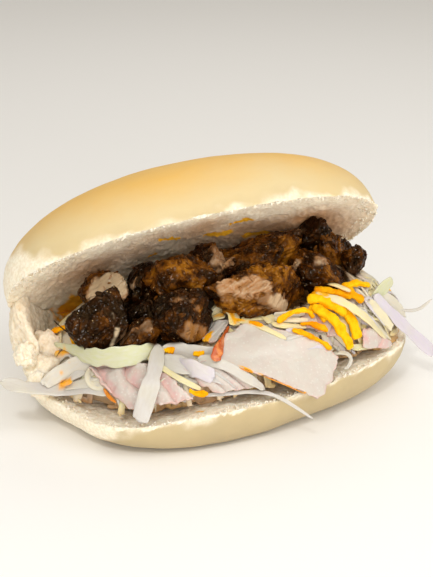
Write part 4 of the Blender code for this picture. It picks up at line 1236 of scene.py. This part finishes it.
def chicken_material(looks):
    """Grilled jerk chicken: a sticky, oily marinade burnt at its edges over pale fibrous meat."""
    # the oil of the marinade browns what it mirrors
    made, tree, shader, place, burn_and_shade, flesh, fibre_light_and_shade, fat = new_material(
        "jerk_chicken",
        ("burn_and_shade", "flesh", "fibre_light_and_shade", "fat"),
        Subsurface_Weight=0.06,
        Subsurface_Scale=0.0015,
        Subsurface_Radius=(1.0, 0.5, 0.3),
        Specular_IOR_Level=0.16,
        Specular_Tint=linear("FFC88A"),
        Coat_Roughness=0.10,
    )
    # blotches of the marinade of about 4 mm and the ground spice in it of about 1 mm
    crust = node(tree, "TexNoise", {"Vector": place, "Scale": 260.0, "Detail": 6.0, "Roughness": 0.68})
    spice = node(tree, "TexNoise", {"Vector": place, "Scale": 850.0, "Detail": 3.0, "Roughness": 0.7})
    # how charred the glaze is, with painted shade in its hollows and painted light on its crests
    grainy = node(tree, "Math", {0: spice, 1: 0.5, 2: burn_and_shade}, operation="MULTIPLY_ADD")
    burnt = node(tree, "Math", {0: crust, 1: 0.7, 2: grainy}, operation="MULTIPLY_ADD")
    spread = node(tree, "MapRange", {"Value": burnt, "From Min": 0.45, "From Max": 1.60})
    baked = ((0.10, looks.gold), (0.34, looks.glaze), (0.58, looks.dark), (0.88, looks.char))
    skin = node(tree, "ValToRGB", {"Fac": spread}, baked)
    # the meat's fibres are grooves in the mesh; painted shade makes them brown in the grooves, and
    # painted light pale on the ridges
    strand = node(tree, "Math", {0: spice, 1: 0.5, 2: fibre_light_and_shade}, operation="MULTIPLY_ADD")
    fibres = (
        (0.32, linear("5A300F")),
        (0.50, linear("A5754A")),
        (0.68, looks.flesh),
        (0.98, linear("C4A584")),
    )
    meat = node(tree, "ValToRGB", {"Fac": strand}, fibres)
    # grains of salt and seed, about half a millimetre across, in patches of about 3 mm
    grit = node(tree, "TexVoronoi", {"Vector": place, "Scale": 520.0}, feature="F1")
    speck = node(tree, "ValToRGB", {"Fac": grit}, ((0.09, 1.0), (0.15, 0.0)))
    rare = node(tree, "TexNoise", {"Vector": place, "Scale": 300.0})
    some = node(tree, "ValToRGB", {"Fac": rare}, ((0.52, 0.0), (0.62, 0.8)))
    seeds = node(tree, "Math", {0: speck, 1: some}, operation="MULTIPLY")
    tone = skin
    for share, over in ((flesh, meat), (fat, looks.fat), (seeds, linear("C8A878"))):
        tone = node(tree, "Mix", {0: share, 6: tone, 7: over}, data_type="RGBA")
    span = {"From Min": 0.6, "From Max": 1.5, "To Min": 0.14, "To Max": 0.34}
    gloss = node(tree, "MapRange", {"Value": burnt, **span})
    # beads of oil, a third of a millimetre across, catch the light
    beads = node(tree, "TexNoise", {"Vector": place, "Scale": 1100.0, "Detail": 2.0})
    oily = node(tree, "ValToRGB", {"Fac": beads}, ((0.59, 0.0), (0.66, 1.0)))
    relief = node(tree, "Math", {0: spice, 1: 0.5, 2: crust}, operation="MULTIPLY_ADD")
    bump = node(tree, "Bump", {"Height": relief, "Strength": 0.35, "Distance": 0.0006})
    plug(tree, shader, {"Base Color": tone, "Roughness": gloss, "Coat Weight": oily, "Normal": bump})
    return made


# --- the pieces and their operators ----------------------------------------------------------
class SANDWICH_OT_stage(bpy.types.Operator):
    """Adds the camera, the soft studio light and the pale floor"""

    bl_idname = "sandwich.stage"
    bl_label = "Stage"

    def execute(self, context):
        scene = context.scene
        add_camera(scene)
        add_lights(scene)
        add_floor()
        return {"FINISHED"}


def look_from(scene, data, azimuth, height, distance):
    """Adds a camera or lamp that looks at the sandwich; azimuth 0 is the front, -Y."""
    azimuth, height = math.radians(azimuth), math.radians(height)
    flat = math.cos(height)
    back = Vector((math.sin(azimuth) * flat, -math.cos(azimuth) * flat, math.sin(height)))
    made = bpy.data.objects.new(data.name, data)
    scene.collection.objects.link(made)
    made.location = CAMERA_TARGET + back * distance
    made.rotation_euler = back.to_track_quat("Z", "Y").to_euler()
    return made


def add_camera(scene):
    """The camera, where the photo was taken from."""
    data = bpy.data.cameras.new("photo_camera")
    data.lens = CAMERA_LENS
    scene.camera = look_from(scene, data, *CAMERA_PLACE)
    scene.view_settings.view_transform = "Standard"


def add_lights(scene):
    """Soft square lamps all round, a small hard one that sparks off the glaze, and the sky."""
    for name, azimuth, height, distance, size, power in LIGHTS:
        data = bpy.data.lights.new(name, "AREA")
        data.energy = power
        data.size = size
        look_from(scene, data, azimuth, height, distance)
    world = bpy.data.worlds.new("studio")
    world.use_nodes = True
    sky = world.node_tree.nodes["Background"]
    plug(world.node_tree, sky, {"Color": linear("FFFAF2"), "Strength": WORLD_STRENGTH})
    scene.world = world


def add_floor():
    """A flat square just under the roll."""
    x = np.array((-1, 1, 1, -1)) * FLOOR_HALF
    corners = np.column_stack([x, np.roll(x, 1), np.full(4, -FLOOR_DROP)])
    floor = new_mesh("floor", corners, [[0, 1, 2, 3]])
    made, *_ = new_material("white_paper_floor", Roughness=0.9, Base_Color=linear("F4F2EE"))
    floor.data.materials.append(made)


class SANDWICH_OT_roll(bpy.types.Operator):
    """Builds the roll: lid, base, the bread that joins them and its torn edges"""

    bl_idname = "sandwich.roll"
    bl_label = "Roll"

    def execute(self, context):
        looks = context.scene.sandwich.roll
        bread = bread_material(looks)
        for made in (make_lid(looks), make_base(looks), make_hinge(looks), make_lumps(looks)):
            dress(made, bread, "bread", "bread_roll")
        dress(make_tufts(looks), bread, "bread")
        return {"FINISHED"}


def torn_share(angle, rise):
    """1 on the pale sides that were torn from the next rolls, at both ends near the cut."""
    return smooth((bumps(angle, TORN_SIDES) - rise) / 0.006 + 0.5)


def split_crust(points, angle, away, on_crust, shift, height, seed):
    """How much is crumb, and how much is torn, by how far each point is away from the cut.

    The crust ends in a ragged line that noise of a height moves to and fro about a shift.
    """
    ragged = shift + height * rough(points, 0.0050, seed, 4)
    crumb = 1 - on_crust * smooth((away - ragged) / 0.0004 + 0.5)
    torn = on_crust * torn_share(angle, away + 0.003 * rough(points, 0.006, seed + 2, 2))
    return crumb, torn


def make_lid(looks):
    """The lid: crust over the dome, crumb below it, with a ragged line between them."""
    below = -np.arccos(np.linspace(0.02, 1, 132) ** (1 / LID_SPREAD))
    above = np.linspace(0, 1, 72)[1:-1] ** 1.4 * math.pi / 2
    tilts = np.concatenate([below, above])
    lid = ball("roll_lid", ROLL_AROUND, tilts, lid_place, crowd=ROLL_CROWD)
    points = points_of(lid)
    x, y, z = lid_local(points).T
    angle = np.arctan2(y / LID_HALF_WIDTH, x / LID_HALF_LENGTH)
    rise = z + lid_sag(y)
    on_dome = np.concatenate([[0], np.repeat(tilts >= 0, ROLL_AROUND), [1]])
    crumb, torn = split_crust(points, angle, rise, on_dome, -0.0003, 0.0015, 31)
    bake = 0.25 + 0.75 * smooth(rise / 0.032) + 0.10 * lattice_noise(points / 0.02, 35)
    cover_crumb(lid, crumb, bake, torn, 8, looks.relief, 0.6)
    return lid


def make_base(looks):
    """The base: a rounded crusty side on a flat underside, and the dished crumb."""
    under = np.linspace(-1, -SIDE_SHARE, 8)[1:] * math.pi / 2
    side = np.linspace(-SIDE_SHARE, 0, 62)[1:] * math.pi / 2
    crumb_rings = np.arccos(np.linspace(1, 0.02, 100))[1:]
    tilts = np.concatenate([under, side, crumb_rings])
    base = ball("roll_base", ROLL_AROUND, tilts, base_place, crowd=ROLL_CROWD)
    points = points_of(base)
    angle = np.arctan2(points[:, 1], points[:, 0])
    drop = rim_height(angle) - points[:, 2]
    on_side = np.concatenate([[1], np.repeat(tilts <= 0, ROLL_AROUND), [0]])
    crumb, torn = split_crust(points, angle, drop, on_side, 0.0006, 0.0013, 41)
    # painted duller than the lid and darker lower down: partly the crust's own colour, partly painted
    # shade
    bake = 0.10 - 0.12 * smooth(drop / 0.018) + 0.06 * lattice_noise(points / 0.02, 45)
    cover_crumb(base, crumb, bake, torn, 5, looks.relief * 0.65, 0.2)
    return base


def make_hinge(looks):
    """The uncut bread along the back: crust outside, torn crumb inside and at its ends."""
    tilts = ring_tilts(240)
    hinge = ball("roll_hinge", 150, tilts, hinge_place)
    points = points_of(hinge)
    ring = np.linspace(-math.pi, math.pi, 150, endpoint=False)
    around = np.concatenate([[0], np.tile(ring, 240), [0]])
    along = np.concatenate([[0], np.repeat(0.5 + tilts / math.pi, 150), [1]])
    ends = np.maximum(smooth((0.07 - along) / 0.03), smooth((along - 0.93) / 0.03))
    ends = np.maximum(ends, smooth((0.16 - along) / 0.04))
    crumb = np.maximum(smooth(-np.cos(around) / 0.3 + 0.5), ends)
    bake = 0.30 + 0.10 * lattice_noise(points / 0.02, 55)
    cover_crumb(hinge, crumb, bake, 0 * bake, 21, looks.relief * 1.1)
    return hinge


def make_lumps(looks):
    """Torn lumps of crumb: ellipsoids pushed in and out by noise, joined in one mesh."""
    parts = []
    for number, (middle, half) in enumerate(LUMPS):

        def place(angle, tilt, middle=middle, half=half, number=number):
            """A unit sphere swollen by noise, at its size and place."""
            sphere = on_sphere(angle, tilt)
            swell = 1 + 0.16 * lattice_noise(sphere * 1.6, 61 + number)
            return np.array(middle) * MM + sphere * swell[:, None] * np.array(half) * MM

        lump = ball(f"lump_{number}", 64, ring_tilts(40), place)
        ones = np.ones(len(lump.data.vertices))
        cover_crumb(lump, ones, 0 * ones, 0 * ones, 71, looks.relief, 0.35)
        push_out(lump, 0.0009 * (rough(points_of(lump), 0.0030, 75, 3) - 0.3))
        parts.append(lump)
    return join("roll_torn_lumps", parts)


def join(name, parts):
    """Joins mesh objects into the first one and names it."""
    with bpy.context.temp_override(active_object=parts[0], selected_editable_objects=parts):
        bpy.ops.object.join()
    parts[0].name = name
    parts[0].data.name = name
    return parts[0]


def make_tufts(looks):
    """Torn crumbs along both cuts: small tapering lumps and strips at random slants.

    Each bends away from its slant by the square of the way along it.
    """
    rng = np.random.default_rng(3)
    count = looks.tufts
    angle = np.radians(rng.uniform(-172, 30, count))
    inward = rng.uniform(0, 1, count) ** 2
    on_lid = rng.random(count) < 0.6
    lid_edge = lid_place(angle, -np.arccos((1 - 0.10 * inward) ** (1 / LID_SPREAD)))
    base_edge = base_place(angle, np.arccos(1 - 0.08 * inward))
    roots = np.where(on_lid[:, None], lid_edge, base_edge)
    away = np.where(on_lid[:, None], -LID_AXES[:, 2], np.array((0.0, 0.0, 1.0)))
    outward = unit(on_sphere(angle, 0 * angle))
    lean = away + 0.6 * outward * rng.uniform(-0.5, 1, (count, 1)) + rng.normal(0, 0.7, (count, 3))
    size = rng.uniform(0.0003, 0.0010, count)
    share = np.linspace(-0.5, 1, 6)[None, :, None]
    sway = rng.normal(0, 0.35, (count, 1, 3)) * share**2
    middle = roots[:, None] + (unit(lean)[:, None] + sway) * size[:, None, None] * share
    up = np.broadcast_to(unit(rng.normal(size=(count, 1, 3))), middle.shape)
    width = np.stack([size * 1.3, size * 0.9], axis=1)
    tufts = ribbons("roll_tufts", middle, up, width, TUFT_THICKNESS, 0 * size, profile=6, blunt=2)
    set_field(tufts, "crumb", np.ones(len(tufts.data.vertices)))
    return tufts


class SANDWICH_OT_cabbage(bpy.types.Operator):
    """Builds the heap of cabbage: its core, the strips that show and loose shreds"""

    bl_idname = "sandwich.cabbage"
    bl_label = "Cabbage"

    def execute(self, context):
        looks = context.scene.sandwich.filling
        cabbage = cabbage_material(looks)
        over = {"profile": 14, "wave": 0.0005}
        strip = {**over, "curl": 0.06, "fray": 0.0006}
        leaf = {"profile": 28, "blunt": 40, "wave": 0.0008, "fray": 0.0012}
        leaf["belly"] = np.array([row[4] for row in LEAVES])[:, None]
        strips = [
            ribbons_along("cabbage_" + name, table, up_at, SHRED_THICKNESS, steps, **form)
            for name, table, up_at, steps, form in (
                ("strips", SHREDS, facing, 48, strip),
                ("leaves", LEAVES, standing, 70, leaf),
                ("over_cheese", TOP_STRIPS, facing, 48, over),
            )
        ]
        for made in (make_core(), make_shreds(looks), *strips):
            soak(made)
            dress(made, cabbage, "cabbage", "slaw")
        return {"FINISHED"}


def soak(made):
    """Gives cabbage its sauce, the chicken's juice and painted shade close to the chicken, and juice and
    painted shade close to the bread.
    """
    points = points_of(made)
    away = chunk_distance(points)
    low = points[:, 2] - crumb_height(points[:, 0], points[:, 1])
    # the bottom of the heap by the bread is painted brown: juice and painted shade
    juice_and_shade_by_bread = 0.8 * smooth(1.2 - low / BREAD_JUICE_AND_SHADE)
    juice_and_shade = np.maximum(0.45 * smooth(1 - away / CHICKEN_JUICE), juice_and_shade_by_bread)
    in_heap = made.name in ("cabbage_core", "cabbage_shreds")
    reach = CORE_SHADE if made.name == "cabbage_core" else STRIP_SHADE
    set_field(made, "stain", smears(points, SMEARS))
    set_field(made, "juice_and_shade", juice_and_shade * in_heap)
    # painted shade close to the chicken, partly its marinade
    set_field(made, "dark", smooth(1 - (away - 0.0008) / reach))


def make_core():
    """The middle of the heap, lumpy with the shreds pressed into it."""
    core = ball("cabbage_core", 300, ring_tilts(150), heap_place)
    points = points_of(core)
    lumps = 0.0006 * lattice_noise(points / 0.007, 61) + 0.0007 * ridges(points, 0.004, 63)
    push_out(core, lumps - 0.0006)
    set_field(core, "tint", 0.26 + 0.10 * lattice_noise(points / 0.005, 67))
    set_field(core, "across", points[:, 0] / 0.0008)
    set_field(core, "along", points[:, 1] / 0.002)
    return core


def top_shreds(rng, count):
    """Short strips laid on the top of the heap, each with a heading that turns along it.

    Gives the points and directions of their middle lines, their widths and their tints.
    """
    angle = rng.uniform(-math.pi, math.pi, count)
    share = rng.uniform(0.15, 1.0, count) ** 0.5 * (0.97 - bumps(angle, BARE_FRONT))
    edge_x, edge_y = base_outline(angle)
    reach = share * heap_reach(angle)
    start = np.stack([edge_x * reach, edge_y * reach], axis=1)
    heading = rng.uniform(-math.pi, math.pi, count)
    bend = rng.normal(0, 1.1, count)
    span = rng.uniform(0.011, 0.030, count)
    turned = heading[:, None] + bend[:, None] * SHRED_STEPS
    ahead = (span[:, None] * SHRED_STEPS)[..., None]
    flat = np.stack([np.cos(turned), np.sin(turned)], axis=-1) * ahead
    plan = (start[:, None] + flat).reshape(-1, 2)
    out = outline_share(plan[:, 0], plan[:, 1]) / heap_reach(np.arctan2(plan[:, 1], plan[:, 0]))
    plan = plan / np.maximum(out / 0.995, 1)[:, None]
    middle = np.column_stack([plan, heap_top(plan[:, 0], plan[:, 1])])
    up = heap_normal(middle)
    lift = np.repeat(rng.uniform(-0.0006, 0.0005, count), len(SHRED_STEPS))
    middle = middle + up * (lift + 0.0006 * lattice_noise(middle / 0.006, 71))[:, None]
    width = rng.uniform(0.0016, 0.0044, count)
    width = np.stack([width, width * rng.uniform(0.5, 1.1, count)], axis=1)
    tints, chances = (0.02, 0.12, 0.30, 0.46, 0.58, 0.90), (0.05, 0.13, 0.34, 0.36, 0.08, 0.04)
    tint = rng.choice(tints, count, p=chances)
    shape = (count, -1, 3)
    return middle.reshape(shape), up.reshape(shape) + rng.normal(0, 0.35, (count, 1, 3)), width, tint


def flank_shreds(rng, count):
    """Strips that hang down the open flank of the heap, given in the same way.

    The angle and the tilt of the core's surface change evenly along each.
    """
    around = np.radians(rng.uniform(-165, 62, count))[:, None]
    around = around + rng.normal(0, 0.18, (count, 1)) * SHRED_STEPS
    tilt = rng.uniform(-0.35, 0.80, count)[:, None]
    tilt = tilt + rng.uniform(-1.1, 1.1, (count, 1)) * SHRED_STEPS
    middle = heap_place(around.ravel(), np.clip(tilt, -0.6, 1.2).ravel())
    up = unit(middle * (0.3, 0.3, 1) - (0, 0, 0.014))
    middle = middle + up * (0.0005 + 0.0006 * lattice_noise(middle / 0.006, 73))[:, None]
    up = up.reshape(count, -1, 3) + rng.normal(0, 0.25, (count, 1, 3))
    width = rng.uniform(0.0020, 0.0044, (count, 1)) * rng.uniform(0.7, 1.0, (count, 2))
    tint = rng.choice((0.02, 0.12, 0.30, 0.46, 0.90), count, p=(0.15, 0.25, 0.25, 0.20, 0.15))
    return middle.reshape(count, -1, 3), up, width, tint


def make_shreds(looks):
    """Loose shreds all over the heap and down its flank, joined in one mesh."""
    rng = np.random.default_rng(19)
    both = zip(top_shreds(rng, looks.shreds), flank_shreds(rng, looks.hanging))
    middle, up, width, tint = (np.concatenate(pair) for pair in both)
    thickness = THIN_SHRED_THICKNESS
    return ribbons("cabbage_shreds", middle, up, width, thickness, tint, profile=8, wave=0.0004)


class SANDWICH_OT_chicken(bpy.types.Operator):
    """Builds the chunks of jerk chicken"""

    bl_idname = "sandwich.chicken"
    bl_label = "Jerk chicken"

    def execute(self, context):
        looks = context.scene.sandwich.chicken
        meat = chicken_material(looks)
        chunks = [make_chunk(looks, *row) for row in CHICKEN]
        scraps = make_scraps(looks, chunks)
        for row, chunk in zip(CHICKEN, chunks):
            dress(chunk, meat, "chicken", f"jerk_chicken_{row[0]}")
        dress(scraps, meat, "chicken")
        return {"FINISHED"}


def patches(points, table, uneven, edge=0.0012):
    """The strength of the lines of a table that a point is close to, ending in a ragged edge."""
    total = np.zeros(len(points))
    for start, end, radius, strength in table:
        away = line_distance(points, start, end)
        total = np.maximum(total, strength * smooth((radius * MM - away + uneven) / edge))
    return total


def meat_grain(points, slant):
    """Coordinates along the fibres, which slant from +X towards +Z, and twice across them."""
    lean = math.radians(slant)
    along = np.array((math.cos(lean), 0.2, math.sin(lean)))
    over = unit(np.cross(along, (0.0, 1.0, 0.0)))
    return points @ np.stack([unit(along), over, unit(np.cross(along, over))], axis=1)


def make_chunk(looks, number, middle, size, turn, seed, char, slant):
    """A chunk: its chopped form, with crags where it is glazed and fibres where it is cut.

    Flakes of meat overlap all over it: a slow rise and a sudden fall along bent lines.
    """
    around = int(np.clip(max(size) / CHUNK_STEP, 60, 240))
    spin = axes_of(turn)

    def place(angle, tilt):
        """The chopped lump, turned and at its place."""
        return chunk_place(angle, tilt, size, seed) @ spin.T + np.array(middle)

    tilts = ring_tilts(int(around * 0.6) - 2)
    lump = ball(f"chicken_{number}_glazed", around, tilts, place, crowd=0.3)
    points = points_of(lump)
    uneven = 0.0014 * rough(points, 0.0032, 203, 3)
    flesh = patches(points, FLESH, uneven)
    fat = patches(points, FAT, uneven * 0.6)
    gold = patches(points, GOLD, uneven, 0.004)
    warped = points + 0.0012 * np.stack([rough(points, 0.005, 211 + n, 2) for n in range(3)], axis=1)
    # crags of about 5 mm, spice of 1 mm, lumps of 10 mm and holes of 3 mm
    crags = ridges(warped, 0.0052, 221, 3) * 2.0 - 1.2
    grit = pits(points, 0.0011, 227)
    lumps = lattice_noise(warped / 0.010, 223)
    fine = rough(points, 0.0012, 231, 2)
    holes = pits(warped, 0.0030, 241)
    # flakes 14 mm long, and fibres about 1 mm and 0.6 mm wide
    grain = meat_grain(points + 0.35 * (warped - points), slant)
    flakes = flaked(2.2 * lattice_noise(grain / (0.014, 0.006, 0.006), seed + 9) + 0.12 * fine)
    fibres = 0.6 * lattice_noise(grain / (0.0120, 0.0011, 0.0011), seed + 7)
    fibres = fibres + 0.8 * lattice_noise(grain / (0.0080, 0.0006, 0.0006), seed + 8)
    glazed = (0.3 + 0.5 * char) * crags + 0.08 * fine + 0.14 * grit - 0.35 * holes + 0.4 * (flakes - 0.5)
    bare = 0.25 * crags + 0.26 * fibres + 0.35 * (flakes - 0.5)
    push_out(lump, looks.crags * ((1 - flesh) * glazed + flesh * bare + 0.8 * lumps))
    # painted shade makes the hollows and holes darker than the crests, and painted light makes the raised
    # edge of each flake paler
    burn_and_shade = char - 0.40 * gold + 0.26 * rough(points, 0.007, 251, 4) - 0.24 * crags + 0.25 * holes
    burn_and_shade = burn_and_shade + 0.10 * grit + 0.22 * (0.5 - flakes)
    set_field(lump, "burn_and_shade", np.clip(burn_and_shade, 0, 1.1))
    set_field(lump, "flesh", flesh * np.clip(0.85 + 0.9 * rough(points, 0.006, 261, 2), 0.3, 1))
    # painted shade and light: darker where the fibres, crags and flakes sink, paler where they rise
    set_field(lump, "fibre_light_and_shade", np.clip(0.40 + 0.26 * fibres + 0.10 * crags + 0.20 * (flakes - 0.5), 0, 1))
    set_field(lump, "fat", fat)
    return lump


def make_scraps(looks, chunks):
    """Flakes and shreds of meat stuck to the chunks: short bent strips at seeded points.

    Each is about as burnt and as bare as the place on the chunk that it sticks to.
    """
    rng = np.random.default_rng(29)
    count = looks.scraps
    points = np.concatenate([points_of(chunk) for chunk in chunks])
    normals = np.concatenate([normals_of(chunk) for chunk in chunks])
    clear = points[:, 2] > heap_top(points[:, 0], points[:, 1])
    chosen = rng.choice(np.flatnonzero((normals[:, 2] > -0.2) & clear), count)
    root, out = points[chosen], normals[chosen]
    heading = unit(np.cross(out, rng.normal(size=(count, 3))))
    size = rng.uniform(0.0006, 0.0022, count)
    share = np.linspace(-0.5, 0.5, 7)[None, :, None]
    arch = out[:, None] * (0.0003 - 0.9 * size[:, None, None] * share**2)
    middle = root[:, None] + heading[:, None] * size[:, None, None] * share * 1.6 + arch
    up = out[:, None] + rng.normal(0, 0.3, (count, 1, 3)) + 0 * middle
    width = size * rng.uniform(0.5, 1.2, count)
    width = np.stack([width, width * rng.uniform(0.2, 0.9, count)], axis=1)
    tint = rng.random(count)
    scraps = ribbons("chicken_scraps", middle, up, width, SCRAP_THICKNESS, tint, profile=7, blunt=3)
    curl = ribbons_along("burnt_curl", BURNT_CURL, standing, SCRAP_THICKNESS, 30, profile=8)
    each = len(scraps.data.vertices) // count
    for key, low, high in (("burn_and_shade", -0.20, 0.15), ("flesh", -0.1, 0.1), ("fibre_light_and_shade", -0.2, 0.2)):
        host = np.concatenate([field_of(chunk, key) for chunk in chunks])[chosen]
        set_field(scraps, key, np.repeat(np.clip(host + rng.uniform(low, high, count), 0, 1.1), each))
    set_field(curl, "burn_and_shade", np.ones(len(curl.data.vertices)))
    return join("chicken_scraps", [scraps, curl])


class SANDWICH_OT_ham(bpy.types.Operator):
    """Builds the slices of ham"""

    bl_idname = "sandwich.ham"
    bl_label = "Ham"

    def execute(self, context):
        looks = context.scene.sandwich.filling
        meat = ham_material(looks)
        for row in HAM:
            dress(make_ham_slice(*row), meat, "ham", row[0])
        return {"FINISHED"}


def make_ham_slice(name, form, crease, lobes, corners):
    """A slice: its bulged and folded surface with a torn border, given its thickness.

    Each corner is rounded: a point at u, v from the middle moves to u * sqrt(1 - round * v * v).
    The folds rise slowly and fall suddenly across it, along lines bent by noise.
    """
    columns, rows = (170, 100) if name == "ham_slice_large" else (130, 80)
    across, down = np.meshgrid(np.linspace(-1, 1, columns), np.linspace(-1, 1, rows))
    round_across = 0.5 + 0.5 * across * np.sqrt(1 - HAM_CORNER * down**2)
    round_down = 0.5 + 0.5 * down * np.sqrt(1 - HAM_CORNER * across**2)
    placed, normal = ham_place(round_across, round_down, corners, *form)
    across, down = across.ravel(), down.ravel()
    edge = np.maximum(np.abs(across), np.abs(down))
    top = (np.array(corners[1]) - np.array(corners[0])) * MM
    slide = top / np.linalg.norm(top)
    torn = (0.0010 * rough(placed, 0.0036, 83, 2) + 0.00025 * rough(placed, 0.0012, 84, 2)) * edge**8
    bend = 0.30 * rough(placed, 0.011, 87, 2) + 0.25 * down
    lobe = np.sin(0.5 * math.pi * flaked(lobes * (across + 1) / 2 + bend))
    folds = lobe - 0.6 + 0.22 * rough(placed, 0.0040, 86, 3)
    placed = placed + slide * torn[:, None] + np.cross(slide, normal) * torn[::-1, None]
    placed = placed + normal * (crease * MM * folds * (0.7 + 0.3 * edge))[:, None]
    grid = np.arange(columns * rows).reshape(rows, columns)
    quads = np.stack([grid[1:, :-1], grid[1:, 1:], grid[:-1, 1:], grid[:-1, :-1]], axis=-1)
    # flat slices are paler; on the folded ones the valleys take painted shade in the rim's colour and the
    # crests painted light
    pale, fold_shade = (0.22, 0.0) if name in FLAT_SLICES else (0.0, 0.6)
    rim = 0.45 * smooth(edge + 0.02 * rough(placed, 0.004, 88, 2), 0.955, 0.99)
    made = new_mesh(
        name.replace("ham_", "ham_meat_"),
        placed,
        quads,
        stain=smears(placed, SMEARS),
        pale=pale + 0.4 * fold_shade * (lobe - 0.6),
        edge=np.maximum(rim, fold_shade * smooth(0.4 - lobe, 0, 0.4)),
    )
    solid = made.modifiers.new("thickness", "SOLIDIFY")
    solid.thickness = HAM_THICKNESS
    solid.offset = 0
    return made


class SANDWICH_OT_cheese(bpy.types.Operator):
    """Builds the grated cheese and the thin sauce on the filling"""

    bl_idname = "sandwich.cheese"
    bl_label = "Grated cheese"

    def execute(self, context):
        looks = context.scene.sandwich.filling
        waxy = cheese_material(looks)
        form = {"profile": 24, "blunt": 14}
        tangle = ribbons_along("cheese_tangle", CHEESE, facing, CHEESE_THICKNESS, 70, **form)
        loose = ribbons_along("cheese_loose", LOOSE_CHEESE, facing, LOOSE_THICKNESS, 60, **form)
        for made in (tangle, loose):
            points = points_of(made)
            grated = 0.00060 * rough(points, 0.0030, 77, 4) + 0.00020 * ridges(points, 0.0012, 78, 2)
            push_out(made, grated - 0.0002)
            wet = smooth(lattice_noise(points / 0.006, 79), 0.2, 0.9)
            set_field(made, "stain", np.clip(field_of(made, "tint") + 0.6 * (wet - 0.3), 0, 1))
        form = {"profile": 16, "power": 0.8, "blunt": 3, "wave": 0.0003}
        sauce = ribbons_along("pepper_sauce", SAUCE, standing, SAUCE_THICKNESS, 50, **form)
        dress(sauce, sauce_material(looks), "cabbage")
        dress(tangle, waxy, "cheese", "grated_cheese")
        dress(loose, waxy, "cheese", "slaw")
        return {"FINISHED"}


class SANDWICH_PT_panel(bpy.types.Panel):
    """Lists the sandwich's pieces in the 3D view's sidebar"""

    bl_label = "Sandwich"
    bl_space_type = "VIEW_3D"
    bl_region_type = "UI"
    bl_category = "Sandwich"

    def draw(self, context):
        for piece in OPERATORS:
            self.layout.operator(piece.bl_idname)


GROUPS = (SandwichRoll, SandwichFilling, SandwichChicken, SandwichSettings)
OPERATORS = (
    SANDWICH_OT_stage,
    SANDWICH_OT_roll,
    SANDWICH_OT_cabbage,
    SANDWICH_OT_chicken,
    SANDWICH_OT_ham,
    SANDWICH_OT_cheese,
)


def register():
    """Makes the classes known to Blender and gives the scene its settings."""
    for part in (*GROUPS, *OPERATORS, SANDWICH_PT_panel):
        bpy.utils.register_class(part)
    bpy.types.Scene.sandwich = PointerProperty(type=SandwichSettings)


def unregister():
    """Takes back what register did."""
    del bpy.types.Scene.sandwich
    for part in reversed((*GROUPS, *OPERATORS, SANDWICH_PT_panel)):
        bpy.utils.unregister_class(part)


def main():
    """Builds every piece in order."""
    register()
    bpy.ops.sandwich.stage()
    bpy.ops.sandwich.roll()
    bpy.ops.sandwich.cabbage()
    bpy.ops.sandwich.chicken()
    bpy.ops.sandwich.ham()
    bpy.ops.sandwich.cheese()


if __name__ == "__main__":
    main()
